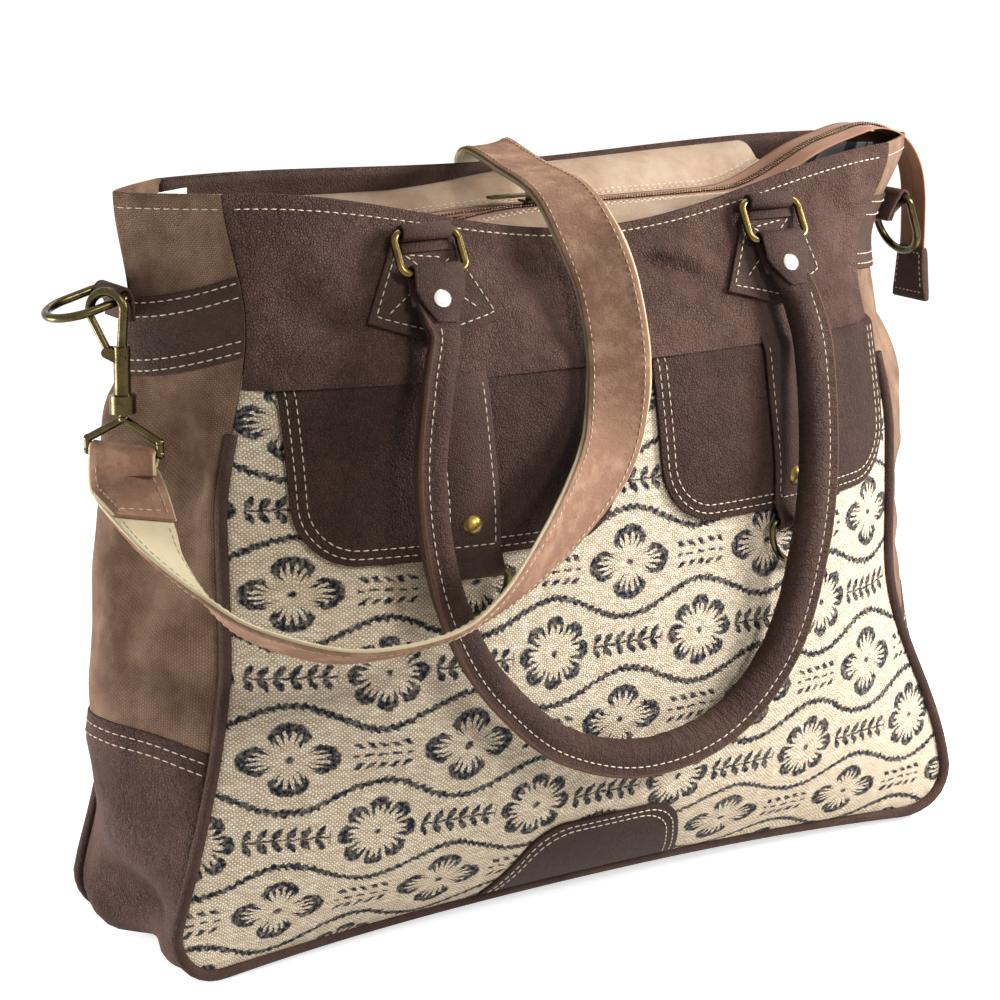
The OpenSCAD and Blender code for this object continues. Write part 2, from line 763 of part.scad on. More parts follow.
// Frame of a D-ring: X runs from the bar to the tip
module d_frame(side) {
    translate(d_bar(side))
        rotate([0, 0, side < 0 ? 180 : 0])
            rotate([0, droop(side), 0])
                children();
}
module d_ring(side) {
    color(old_brass)
        d_frame(side)
            d_loop(d_ring_w, d_ring_depth, d_ring_wire);
}
module left_d_ring() d_ring(-1);
module right_d_ring() d_ring(1);

// The hook rides on the straight leg of its D-ring, at the front on the left and at the back on the right.
// It hangs on the left, and points back round the corner of the bag on the right: yaw, tilt, roll.
hook_ride = 12;
hook_hang = 73;
hook_room = 14;
// The left hook leans out where the gusset under it swells past the room that it has
function gusset_x(z, side) = reach(z, side) + gusset_out(z);
hook_swell = gusset_x(d_ring_z(-1) - hook_hang, -1) - gusset_x(d_ring_z(-1), -1);
hook_lean = atan(max(0, hook_swell - hook_room) / hook_hang);
hook_turn = [[90, hook_lean, -138], [37, 90, 23]];
eye_turn = [0, 67];
function hook_point(side) =
    d_bar(side)
        + [
            side * hook_ride * cos(droop(side)),
            side * d_ring_w / 2,
            -hook_ride * sin(droop(side))
        ];
function turn_z(a, v) = [v.x * cos(a) - v.y * sin(a), v.x * sin(a) + v.y * cos(a), v.z];
function turn_x(a, v) = [v.x, v.y * cos(a) - v.z * sin(a), v.y * sin(a) + v.z * cos(a)];
function hook_dir(side, v) =
    let (a = hook_turn[side < 0 ? 0 : 1]) turn_z(a[0], turn_x(a[1], turn_z(a[2], v)));
module hook_frame(side) {
    a = hook_turn[side < 0 ? 0 : 1];
    translate(hook_point(side))
        rotate([0, 0, a[0]])
            rotate([a[1], 0, 0])
                rotate([0, 0, a[2]])
                    children();
}
bow_r = hook_bow_r + hook_wire / 2;
bow_drop = hook_bow_r - d_ring_r - 2.2;
barrel_x = bow_r - 1.5;
barrel_r = 4.2;
barrel_top = -bow_drop - 18;
barrel_low = barrel_top - hook_barrel;
collar_r = 6.6;
collar_h = 9;
stem_r = 2.2;
gate_pin = [barrel_x - barrel_r - 2.6, barrel_top - 3];
gate_pin_r = 1.1;
gate_r = 1.9;
gate_boss_w = 4;

module hook(side) {
    limb = hook_wire / 2;
    collar_top = barrel_low - 4;
    color(old_brass)
        hook_frame(side)
            difference() {
                union() {
                    translate([0, 0, -bow_drop])
                        rotate([90, 0, 0])
                            rotate_extrude(angle = 188)
                                translate([bow_r, 0])
                                    circle(r = limb, $fn = 16);
                    rod([bow_r, 0, -bow_drop], [barrel_x, 0, barrel_top - 1], limb);
                    translate([barrel_x, 0, collar_top - collar_h])
                        cylinder(h = barrel_top - collar_top + collar_h, r = barrel_r);
                    translate([barrel_x, 0, collar_top - collar_h])
                        cylinder(h = collar_h, r = collar_r);
                    for (y = [-1, 1])
                        translate([0, y * (gate_boss_w / 2 + fit + 0.7), 0])
                            rotate([90, 0, 0])
                                linear_extrude(1.4, center = true)
                                    hull() {
                                        translate(gate_pin)
                                            circle(r = 2.6);
                                        translate([barrel_x, gate_pin.y - 2])
                                            circle(r = 3.4);
                                    }
                    translate([gate_pin.x, 0, gate_pin.y])
                        y_bar(gate_boss_w + 3, gate_pin_r);
                }
                translate([barrel_x, 0, collar_top - collar_h - 1])
                    cylinder(h = collar_h - 2, r = stem_r + fit);
                translate([barrel_x, 0, collar_top - collar_h + 3.5])
                    cylinder(h = 4, r = stem_r + 1.6 + fit);
            }
}
module left_hook() hook(-1);
module right_hook() hook(1);

// Sprung gate that closes the mouth of the hook
module hook_gate(side) {
    tip = [-bow_r - 0.2, -bow_drop - hook_wire / 2 - 0.7];
    color(old_brass)
        hook_frame(side)
            difference() {
                union() {
                    rod([gate_pin.x, 0, gate_pin.y], [tip.x, 0, tip.y], gate_r);
                    translate([gate_pin.x, 0, gate_pin.y])
                        y_bar(gate_boss_w, gate_pin_r + fit + 1);
                }
                translate([gate_pin.x, 0, gate_pin.y])
                    y_bar(gate_boss_w + 2, gate_pin_r + fit);
            }
}
module left_hook_gate() hook_gate(-1);
module right_hook_gate() hook_gate(1);

// Swivel eye: a headed stem in the collar and a loop with a bar for the strap
eye_top = barrel_low - 4 - collar_h;
eye_h = 20;
eye_leg = 6;
eye_bar_w = strap_w + 6;
eye_wire_r = 2;
function eye_bar(side) = hook_point(side) + hook_dir(side, [barrel_x, 0, eye_top - eye_h]);
module eye_frame(side) {
    hook_frame(side)
        translate([barrel_x, 0, eye_top])
            rotate([0, 0, eye_turn[side < 0 ? 0 : 1]])
                children();
}
module swivel_eye(side) {
    shoulder = [0, 0, -3];
    w = eye_bar_w / 2;
    color(old_brass)
        eye_frame(side) {
            translate(shoulder)
                cylinder(h = 8, r = stem_r);
            translate([0, 0, 3.5 + fit])
                cylinder(h = 4 - 2 * fit, r = stem_r + 1.6);
            ball(shoulder, stem_r + 0.4);
            for (x = [-w, w]) {
                rod(shoulder, [x, 0, eye_leg - eye_h], eye_wire_r);
                ball([x, 0, eye_leg - eye_h], eye_wire_r + 0.3);
                rod([x, 0, eye_leg - eye_h], [x, 0, -eye_h], eye_wire_r);
                ball([x, 0, -eye_h], eye_wire_r + 0.3);
            }
            translate([0, 0, -eye_h])
                x_bar(eye_bar_w, eye_wire_r);
        }
}
module left_swivel_eye() swivel_eye(-1);
module right_swivel_eye() swivel_eye(1);

// Route of the strap between the two eyes, chosen by hand: a point, with its height from the rim, and the
// direction of its width
strap_points = [
    [[-264, -33, -148], [0.88, -0.46, 0]],
    [[-267, -50, -156], [0.98, 0.1, -0.1]],
    [[-267, -70, -167], [0.8, 0.5, -0.3]],
    [[-254, -93, -188], [0.55, 0.72, -0.42]],
    [[-236, -109, -203], [0.38, 0.82, -0.42]],
    [[-198, -127, -215], [0.15, 0.91, -0.39]],
    [[-152, -137, -212], [0.1, 0.91, -0.4]],
    [[-120, -137, -201], [0.25, 0.8, -0.54]],
    [[-85, -130, -180], [0.5, 0.5, -0.7]],
    [[-54, -120, -157], [0.68, 0.15, -0.7]],
    [[-32, -110, -137], [0.8, -0.2, -0.55]],
    [[-20, -101, -115], [0.83, -0.45, -0.33]],
    [[-15, -94, -87], [0.83, -0.53, -0.15]],
    [[-15, -82, -53], [0.84, -0.53, -0.05]],
    [[-22, -72, -27], [0.88, -0.45, 0]],
    [[-23, -50, -9], [0.96, -0.25, 0.05]],
    [[-17, -5, -2], [1, 0, 0]],
    [[-10, 36, 3], [1, 0.02, 0.03]],
    [[2, 63, -5], [0.95, 0, 0.3]],
    [[24, 82, -25], [0.75, 0, 0.65]],
    [[58, 98, -41], [0.4, 0, 0.92]],
    [[100, 106, -50], [0.15, 0, 0.99]],
    [[145, 108, -53], [0.05, 0, 1]],
    [[178, 104, -49], [0, 0, 1]]
];
strap_route = concat(
    [for (d = [3.9, 14]) [eye_bar(-1) - [0, 0, d], hook_dir(-1, [1, 0, 0])]],
    [for (p = strap_points) [p[0] + rim, p[1]]],
    [for (d = [14, 3.6]) [eye_bar(1) - d * hook_dir(1, [0, 0, 1]), [0, 0, 1]]]
);
module strap_ribbon() {
    path = curve([for (p = strap_route) p[0]], 3);
    across = curve([for (p = strap_route) p[1]], 3);
    rings = [
        for (k = [0:len(path) - 1])
            let (
                t = heading(path, k),
                w = unit(across[k] - (across[k] * t) * t),
                n = cross(t, w)
            ) [
                path[k] - w * strap_w / 2 - n * strap_t / 2,
                path[k] + w * strap_w / 2 - n * strap_t / 2,
                path[k] + w * strap_w / 2 + n * strap_t / 2,
                path[k] - w * strap_w / 2 + n * strap_t / 2
            ]
    ];
    loft(rings);
}
module strap_end(side) {
    loop_r = eye_wire_r + fit + leather;
    eye_frame(side)
        translate([0, 0, -eye_h])
            difference() {
                x_bar(strap_w, loop_r);
                x_bar(strap_w + 10, eye_wire_r + fit);
            }
}
module shoulder_strap() {
    color(suede) {
        strap_ribbon();
        for (side = [-1, 1])
            strap_end(side);
    }
}

// Zip

// Path of the zip in the XZ plane: level along the mouth, then over the right rim and down outside
zip_left = -150;
zip_xs = concat(steps(zip_left, 120, 12), [130, 140, 150, 160]);
function zip_rise(x) = 27 * smooth((x - 120) / 85);
tail_x = rim_w / 2 + gusset_full + 10;
tail_low = bag_h - 72;
zip_path = concat(
    [for (x = zip_xs) [x, zip_z + zip_rise(x)]],
    [
        [180, zip_z + zip_rise(180)], [200, bag_h + 2], [220, bag_h + 5], [240, bag_h + 5],
        [tail_x - 6, bag_h + 2], [tail_x - 1, bag_h - 6], [tail_x, bag_h - 18],
        [tail_x, tail_low + 25], [tail_x, tail_low]
    ]
);
function path_up(k) =
    let (d = unit(zip_path[min(k + 1, len(zip_path) - 1)] - zip_path[max(k - 1, 0)])) [-d.y, d.x];
// The two sides of the zip part to the left of the slider
function parting(x) = smooth((slider_x - slider_l / 2 - x) / 120);
function zip_pt(k, y, up) =
    let (q = zip_path[k], n = path_up(k), p = parting(q.x))
        [q.x + n.x * up, y + side_of(y) * 20 * p, q.y + n.y * up - 9 * p];
module zip_strip(y0, y1, low, high) {
    last = len(zip_path) - 1;
    loft([
        for (k = [0:last]) [
            zip_pt(k, y0, low), zip_pt(k, y1, low), zip_pt(k, y1, high), zip_pt(k, y0, high)
        ]
    ]);
}
tape_gap = 0.8;
coil_gap = 0.6;
module zip_tape(face) {
    color(rust_tape)
        zip_strip(
            face < 0 ? -tape_w : tape_gap,
            face < 0 ? -tape_gap : tape_w,
            -tape_t,
            0
        );
}
module front_zip_tape() zip_tape(-1);
module back_zip_tape() zip_tape(1);
module zip_coil(face) {
    color(brown_leather)
        zip_strip(
            face < 0 ? -coil_gap - coil_w : coil_gap,
            face < 0 ? -coil_gap : coil_gap + coil_w,
            fit / 2,
            fit / 2 + coil_w
        );
}
module front_zip_coil() zip_coil(-1);
module back_zip_coil() zip_coil(1);

// Cloth panel from the rim to the zip tape, lying flat over the outer part of the tape
module zip_panel(face) {
    lap = tape_w - 5;
    function row(x, up) =
        let (
            p = parting(x),
            rim = face_pt(x, bag_h - 16, -wall - 2.2 - lining_t, face),
            z = zip_z + fit / 2 + zip_rise(x) - 9 * p,
            lip = [x, face * (lap + 20 * p), z],
            shoulder = [x, face * (tape_w + 1 + 20 * p), z]
        ) [
            for (t = [0, 0.3, 0.65]) mix(rim, shoulder, t) + [0, 0, up + 4 * sin(180 * t)],
            shoulder + [0, 0, up],
            lip + [0, 0, up]
        ];
    function sheet(up) =
        let (cols = [for (x = zip_xs) row(x, up)])
            [for (k = [0:4]) [for (j = [0:len(zip_xs) - 1]) cols[j][face < 0 ? k : 4 - k]]];
    color(tan_cloth)
        grid_solid(sheet(zip_panel_t), sheet(0));
}
module front_zip_panel() zip_panel(-1);
module back_zip_panel() zip_panel(1);

// Slider: two plates round the teeth, joined by a thin web between the rows
slider_w = 10;
slider_plate = 1.3;
slider_floor = -tape_t - fit - slider_plate;
slider_roof = fit / 2 + coil_w + fit;
pull_pin_z = slider_roof + slider_plate + 2.6;
pull_pin_r = 1;
pull_w = 6;
module zip_slider() {
    ear = 1.2;
    color(old_brass)
        translate([slider_x, 0, zip_z]) {
            translate([-slider_l / 2, -slider_w / 2, slider_floor])
                cube([slider_l, slider_w, slider_plate]);
            translate([-slider_l / 2, -slider_w / 2, slider_roof])
                cube([slider_l, slider_w, slider_plate]);
            translate([-slider_l / 2, -fit, slider_floor])
                cube([3, 2 * fit, slider_roof - slider_floor + slider_plate]);
            for (y = [-1, 1])
                translate([-2, y * (pull_w / 2 + fit + ear / 2) - ear / 2, slider_roof])
                    cube([4, ear, pull_pin_z - slider_roof + 1.6]);
            translate([0, 0, pull_pin_z])
                y_bar(pull_w + 2 * fit + 2 * ear, pull_pin_r);
        }
}
module zip_pull() {
    barrel = pull_pin_r + fit + 0.9;
    color(old_brass)
        translate([slider_x, 0, zip_z + pull_pin_z])
            difference() {
                union() {
                    y_bar(pull_w, barrel);
                    translate([-pull_l, -pull_w / 2, -0.7])
                        cube([pull_l, pull_w, 1.4]);
                }
                y_bar(pull_w + 2, pull_pin_r + fit);
                translate([-pull_l + 4, 0, -2])
                    cylinder(h = 4, d = 3);
            }
}

// Leather end sewn on the tail of the zip
module zip_end_tab() {
    tab_h = 27;
    tab_t = 5;
    top_half = tape_w * 0.62;
    low_half = tape_w * 0.86;
    color(brown_leather)
        translate([tail_x, 0, tail_low - fit])
            rotate([90, 180, 90])
                linear_extrude(tab_t, center = true)
                    polygon([[-top_half, 0], [top_half, 0], [low_half, tab_h], [-low_half, tab_h]]);
}

front_panel();
front_band();
back_panel();
back_band();
left_gusset();
right_gusset();
base_gusset();
front_piping();
back_piping();
left_gusset_strap();
right_gusset_strap();
front_base_patch();
lining();
left_pocket_flap();
right_pocket_flap();
left_pocket_strap();
right_pocket_strap();
left_pocket_stud();
right_pocket_stud();
left_pocket_ring();
right_pocket_ring();
left_pocket_pouch();
right_pocket_pouch();
front_left_tab();
front_right_tab();
back_left_tab();
back_right_tab();
front_left_ring();
front_right_ring();
back_left_ring();
back_right_ring();
front_handle();
back_handle();
front_left_rivet();
front_right_rivet();
back_left_rivet();
back_right_rivet();
left_d_ring_tab();
right_d_ring_tab();
left_d_ring();
right_d_ring();
left_hook();
right_hook();
left_hook_gate();
right_hook_gate();
left_swivel_eye();
right_swivel_eye();
shoulder_strap();
front_zip_panel();
back_zip_panel();
front_zip_tape();
back_zip_tape();
front_zip_coil();
back_zip_coil();
zip_slider();
zip_pull();
zip_end_tab();
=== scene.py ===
from math import asin, atan2, cos, hypot, pi, radians, sin, sqrt

import bmesh
import bpy
from mathutils import Matrix, Vector, noise


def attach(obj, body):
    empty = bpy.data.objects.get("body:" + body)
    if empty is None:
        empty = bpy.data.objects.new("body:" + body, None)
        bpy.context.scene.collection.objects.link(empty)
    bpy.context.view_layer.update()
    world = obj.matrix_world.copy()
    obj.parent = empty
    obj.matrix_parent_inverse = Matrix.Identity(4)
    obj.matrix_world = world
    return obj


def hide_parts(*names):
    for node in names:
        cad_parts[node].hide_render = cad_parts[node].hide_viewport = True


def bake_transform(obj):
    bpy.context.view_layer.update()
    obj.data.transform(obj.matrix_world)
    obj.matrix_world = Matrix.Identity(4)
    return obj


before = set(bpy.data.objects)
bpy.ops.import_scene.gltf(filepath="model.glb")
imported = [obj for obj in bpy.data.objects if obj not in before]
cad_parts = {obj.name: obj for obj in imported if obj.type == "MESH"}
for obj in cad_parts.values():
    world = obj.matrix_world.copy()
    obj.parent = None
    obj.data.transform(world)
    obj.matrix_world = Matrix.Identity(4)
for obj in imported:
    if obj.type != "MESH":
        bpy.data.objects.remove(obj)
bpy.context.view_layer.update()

# Sizes of the bag, as in the solid model
BAG_H = 0.405
BASE_W, BODY_W, NECK_W, RIM_W = 0.518, 0.430, 0.390, 0.426
BASE_D, RIM_D = 0.112, 0.070
BELLY, RIM_BELLY, TUCK = 0.044, 0.014, 0.012
GUSSET_FULL = 0.042
FRONT_SAG, BACK_SAG = 0.030, 0.006
LEAN = 0.010
CORNER_R = 0.030
WALL, LEATHER, LINING_T = 0.002, 0.002, 0.0008
FIT, LAY, SEAM_IN = 0.0003, 0.0006, 0.0005
FLARE_H, SHOULDER_Z, NECK_Z = 0.180, 0.240, 0.345
FULL_Z, TAPER_Z, SAG_Z, HEM_H = 0.160, 0.120, 0.320, 0.060
BEND_Z, BEND_H = 0.250, 0.130
BASE_ARCH, BASE_LAP = 0.008, 0.0010
PIPING_R, PIPING_TOP = 0.0032, 0.288
SEAM_H = 1.55 * PIPING_R + FIT
BAND_Z, BASE_SEAM_Z = 0.312, 0.122
PATCH_OUT = LAY + LEATHER
STRAP_OUT = PATCH_OUT + LAY + LEATHER
GUSSET_STRAP_Z, GUSSET_STRAP_TILT, GUSSET_STRAP_W = 0.348, 0.007, 0.040
FLAP_W, FLAP_GAP, FLAP_H, FLAP_R = 0.180, 0.030, 0.092, 0.032
POCKET_X = (FLAP_GAP + FLAP_W) / 2
POCKET_STRAP_W, POCKET_RING_R = 0.032, 0.0019
POUCH_W, POUCH_H = 0.160, 0.116
TAB_X, TAB_W, TAB_BAR_Z = 0.110, 0.075, 0.393
RING_H, RING_R = 0.022, 0.0022
HANDLE_D, HANDLE_END_W = 0.017, 0.026
STRAP_W, STRAP_T = 0.032, 0.0036
D_RING_W, D_RING_R = 0.034, 0.0022
ZIP_Z, TAPE_W, TAPE_T, ZIP_PANEL_T = 0.380, 0.017, 0.0008, 0.0012
COIL_W, SLIDER_X, SLIDER_L = 0.0022, -0.006, 0.013
FRONT, BACK, LEFT, RIGHT = -1, 1, -1, 1
FACES, ENDS = ((FRONT, "front"), (BACK, "back")), ((LEFT, "left"), (RIGHT, "right"))
ALONG, DEEP, UP = Vector((1, 0, 0)), Vector((0, 1, 0)), Vector((0, 0, 1))


def mix(a, b, t):
    return a + (b - a) * t


def smooth(t):
    t = min(1.0, max(0.0, t))
    return t * t * (3 - 2 * t)


def steps(a, b, n):
    return [mix(a, b, k / n) for k in range(n + 1)]


def ripple(a, b, size, seed):
    return noise.noise(Vector((a / size, b / size, seed)))


# Shape of the filled bag

def half_w(z):
    if z < NECK_Z:
        flare = (BASE_W - BODY_W) / 2 * (1 + cos(pi * min(1, z / FLARE_H)))
        return (BODY_W + flare - (BODY_W - NECK_W) * smooth((z - SHOULDER_Z) / (NECK_Z - SHOULDER_Z))) / 2
    return mix(NECK_W, RIM_W, smooth((z - NECK_Z) / (BAG_H - NECK_Z))) / 2


def reach(z, side):
    return half_w(z) - side * LEAN * smooth((z - 0.050) / 0.110) * smooth((BAG_H - z) / 0.060)


def edge_d(z):
    return BASE_D / 2 - (BASE_D - RIM_D) / 2 * max(0, (z - TAPER_Z) / (BAG_H - TAPER_Z)) ** 2


def swell(z):
    if z < FULL_Z:
        return -TUCK + (BELLY + TUCK) * sin(pi / 2 * (max(0, z) / FULL_Z) ** 0.7)
    return RIM_BELLY + (BELLY - RIM_BELLY) * cos(pi / 2 * min(1, (z - FULL_Z) / (BAG_H - FULL_Z)) ** 1.2)


def lift(s, z, sag):
    rise = (SEAM_H + BASE_ARCH * (1 - s * s)) * max(0, 1 - z / HEM_H)
    return rise - sag * cos(pi / 2 * s) ** 2 * max(0, (z - SAG_Z) / (BAG_H - SAG_Z)) ** 1.5


# Soft folds of the front band: ends in x and z, reach to each side, and how far they stand out
BAND_FOLDS = (
    (-0.188, 0.350, -0.140, 0.328, 0.010, -0.0060), (-0.172, 0.372, -0.132, 0.345, 0.012, 0.0034),
    (-0.060, 0.392, -0.034, 0.330, 0.011, -0.0045), (-0.040, 0.396, -0.005, 0.345, 0.009, 0.0030),
    (0.022, 0.388, 0.078, 0.352, 0.009, 0.0044), (0.028, 0.366, 0.080, 0.336, 0.008, -0.0042),
    (0.034, 0.346, 0.066, 0.326, 0.007, 0.0026), (0.160, 0.394, 0.182, 0.336, 0.010, -0.0045),
    (0.060, 0.396, 0.070, 0.370, 0.008, -0.0024), (0.180, 0.380, 0.192, 0.330, 0.008, 0.0030))


def folds_at(x, z, folds):
    """Sum of soft folds; each runs between two points."""
    total = 0.0
    for x0, z0, x1, z1, wide, high in folds:
        dx, dz = x1 - x0, z1 - z0
        t = min(1, max(0, ((x - x0) * dx + (z - z0) * dz) / (dx * dx + dz * dz)))
        gap = hypot(x - x0 - t * dx, z - z0 - t * dz)
        if gap < 3 * wide:
            total += high * 2.718 ** -((gap / wide) ** 2)
    return total


def panel_folds(x, z, s, face):
    """How far the soft panel stands out of its plain shape."""
    edge = 1 - min(1, abs(s)) ** 6
    if face == BACK:
        return (0.0016 * ripple(x, z, 0.080, 9.2) * edge
                * smooth((z - 0.03) / 0.05) * smooth((0.30 - z) / 0.05))
    low = smooth((z - 0.02) / 0.04) * smooth((0.205 - z) / 0.03)
    band = smooth((z - BAND_Z - 0.004) / 0.02) * smooth((BAG_H - 0.010 - z) / 0.02)
    plain = 0.0014 * ripple(x, z, 0.075, 1.3) * low
    if not band:
        return edge * plain
    clear = smooth((abs(abs(x) - TAB_X) - 0.034) / 0.022)
    creased = folds_at(x, z, BAND_FOLDS) + 0.0012 * ripple(x, z * 0.6, 0.030, 5.1)
    return edge * (plain + band * clear * creased)


def face_pt(x, z, out, face):
    s = x / reach(z, -1 if x < 0 else 1)
    depth = edge_d(z) + swell(z) * (1 - abs(s) ** 3) + out + panel_folds(x, z, s, face)
    return Vector((x, face * depth, z + lift(s, z, FRONT_SAG if face < 0 else BACK_SAG)))


def face_normal(x, z, face):
    d = 0.001
    along = face_pt(x + d, z, 0, face) - face_pt(x - d, z, 0, face)
    up = face_pt(x, z + d, 0, face) - face_pt(x, z - d, 0, face)
    return along.cross(up).normalized() * -face


def corner_in(z):
    return CORNER_R - sqrt(CORNER_R ** 2 - (CORNER_R - z) ** 2) if z < CORNER_R else 0


def gusset_out(z):
    return GUSSET_FULL * smooth(z / 0.160)


def gusset_d(z):
    return edge_d(z) - SEAM_IN


# Soft folds of the gussets: ends across the gusset, as a share of its half, and in z, reach to each side,
# and how far they stand out
GUSSET_HALF = 0.056
GUSSET_FOLDS = [(a * GUSSET_HALF, b, c * GUSSET_HALF, d, wide, high) for a, b, c, d, wide, high in (
    (-0.10, 0.318, -0.80, 0.262, 0.011, -0.0065), (0.10, 0.300, -0.62, 0.235, 0.012, 0.0040),
    (-0.62, 0.225, -0.55, 0.180, 0.009, 0.0045), (-0.30, 0.250, -0.45, 0.200, 0.010, -0.0050),
    (-0.85, 0.235, -0.35, 0.170, 0.014, -0.0046), (-0.25, 0.195, 0.10, 0.130, 0.018, 0.0040),
    (0.80, 0.300, 0.15, 0.235, 0.016, -0.0045), (0.75, 0.190, 0.30, 0.140, 0.014, -0.0035))]
# Hollow in the left gusset that leaves room for the end of the shoulder strap
HOLLOW_T, HOLLOW_Z, HOLLOW_W, HOLLOW_H, HOLLOW_IN = -0.42, 0.250, 0.038, 0.080, 0.0125


def gusset_folds(t, z, side):
    zone = (1 - t * t) * smooth((z - 0.05) / 0.08) * smooth((0.316 - z) / 0.03)
    pleat = (ripple(t * 0.9 + side, z * 0.35, 0.42, 2.7) * 0.0052
             + 0.0030 * ripple(t * 0.05, z, 0.045, 3.1 + side))
    edge = smooth((1 - abs(t)) / 0.25) * smooth((z - 0.05) / 0.08) * smooth((0.330 - z) / 0.03)
    hollow = 0.0
    if side == LEFT:
        near = hypot((t - HOLLOW_T) * GUSSET_HALF / HOLLOW_W, (z - HOLLOW_Z) / HOLLOW_H)
        hollow = HOLLOW_IN * smooth(1 - near)
    return zone * pleat + edge * (folds_at(t * GUSSET_HALF, z, GUSSET_FOLDS) - hollow)


def gusset_pt(t, z, out, side):
    bend = mix(2, 1.3, smooth((z - BEND_Z) / BEND_H))
    far = reach(z, side) + gusset_out(z) * (1 - abs(t) ** bend) + out + gusset_folds(t, z, side)
    return Vector((side * far, t * gusset_d(z), z + SEAM_H * max(0, 1 - z / HEM_H)))


def gusset_normal(t, z, side):
    d = 0.004
    along = gusset_pt(t + d, z, 0, side) - gusset_pt(t - d, z, 0, side)
    up = gusset_pt(t, z + 0.001, 0, side) - gusset_pt(t, z - 0.001, 0, side)
    return along.cross(up).normalized() * side


def hem_line(top, n_side, n_corner=8, n_base=40):
    """Lower outline of the panels from the left side round the base to the right side: x, z, nx, nz."""
    wl, wr = reach(CORNER_R, LEFT) - CORNER_R, reach(CORNER_R, RIGHT) - CORNER_R
    arc = steps(0, pi / 2, n_corner)
    line = [(-reach(z, LEFT), z, -1, 0) for z in steps(top, CORNER_R, n_side)[:-1]]
    line += [(-wl - CORNER_R * cos(a), CORNER_R * (1 - sin(a)), -cos(a), -sin(a)) for a in arc]
    line += [(mix(-wl, wr, k / n_base), 0, 0, -1) for k in range(1, n_base)]
    line += [(wr + CORNER_R * sin(a), CORNER_R * (1 - cos(a)), sin(a), -cos(a)) for a in arc]
    return line + [(reach(z, RIGHT), z, 1, 0) for z in steps(CORNER_R, top, n_side)[1:]]


def base_pt(q, t):
    x, z, nx, nz = q
    side = -1 if nx < 0 else 1
    seam = face_pt(x, z, 0, FRONT)
    round_out, flat_out = 1 - t * t, min(1, 1.5 * (1 - t * t))
    if nz == 0:
        move = gusset_out(z) * round_out + gusset_folds(t, z, side) + BASE_LAP * smooth((z - 0.06) / 0.04)
    else:
        move = mix(gusset_out(CORNER_R), seam.z, -nz) * mix(round_out, flat_out, -nz)
    if nx < -0.1:
        move -= 0.021 * smooth(1 - abs(z - 0.026) / 0.044) * smooth(1 - abs(t + 0.08) / 0.90)
        move += 0.004 * smooth(1 - abs(z - 0.075) / 0.04) * smooth(1 - abs(t + 0.1) / 0.6)
    return Vector((seam.x + nx * move, t * (abs(seam.y) - SEAM_IN), seam.z + nz * move))


# Mesh tools

def laid(cols, rows, place):
    """Grid of cols by rows faces; place(i, j) gives a corner's point and its place on the flat cloth."""
    bm = bmesh.new()
    flat = bm.loops.layers.uv.new("flat")
    bmesh.ops.create_grid(bm, x_segments=cols, y_segments=rows, size=0.5)
    spots = {v: place(round((v.co.x + 0.5) * cols), round((v.co.y + 0.5) * rows)) for v in bm.verts}
    for face in bm.faces:
        for loop in face.loops:
            loop[flat].uv = spots[loop.vert][1]
    for v, (point, _) in spots.items():
        v.co = point
    return bm


def headings(path):
    last = len(path) - 1
    return [(path[min(k + 1, last)] - path[max(k - 1, 0)]).normalized() for k in range(last + 1)]


def lengths(path):
    """Distance along a path at each of its points."""
    run = [0.0]
    for a, b in zip(path, path[1:]):
        run.append(run[-1] + (b - a).length)
    return run


def squared(across, way):
    """The part of a direction that is square to a heading."""
    return (across - across.dot(way) * way).normalized()


def curve(points, n):
    """Smooth curve through the points, with n steps between two of them."""
    last = len(points) - 1
    out = []
    for k in range(last):
        a, b, c, d = points[max(k - 1, 0)], points[k], points[k + 1], points[min(k + 2, last)]
        for j in range(n):
            t = j / n
            out.append((2 * b + (c - a) * t + (2 * a - 5 * b + 4 * c - d) * t ** 2
                        + (3 * b - a - 3 * c + d) * t ** 3) / 2)
    return out + [points[last].copy()]


def closed(bm):
    """The open ends filled and all faces turned outwards."""
    bmesh.ops.holes_fill(bm, edges=[e for e in bm.edges if e.is_boundary], sides=0)
    bmesh.ops.recalc_face_normals(bm, faces=bm.faces)
    return bm


def carried(path, across, section, finish_of=None, ways=None):
    """Closed solid carried along a path; section(k) lists its (across, up) offsets in turn."""
    ways = ways or headings(path)
    rings, run = [], lengths(path)
    for k, point in enumerate(path):
        side = squared(across[k], ways[k])
        up = ways[k].cross(side)
        rings.append([point + a * side + b * up for a, b in section(k)])
    m = len(rings[0])
    girth = lengths(rings[0] + rings[0][:1])
    bm = laid(m, len(path) - 1, lambda i, j: (rings[j][i % m], (girth[i], run[j])))
    if finish_of:
        for face in bm.faces:
            start = min(loop[bm.loops.layers.uv.active].uv.x for loop in face.loops)
            face.material_index = finish_of(min(range(m), key=lambda i: abs(girth[i] - start)))
    bmesh.ops.remove_doubles(bm, verts=bm.verts, dist=1e-7)
    for edge in bm.edges:
        if edge.is_boundary:
            edge.smooth = False
    return closed(bm)


def slab(half, thick):
    """Flat strip section with worn corners."""
    c = min(0.0006, thick * 0.3)
    h = thick / 2
    return [(-half + c, -h), (half - c, -h), (half, -h + c), (half, h - c),
            (half - c, h), (-half + c, h), (-half, h - c), (-half, -h + c)]


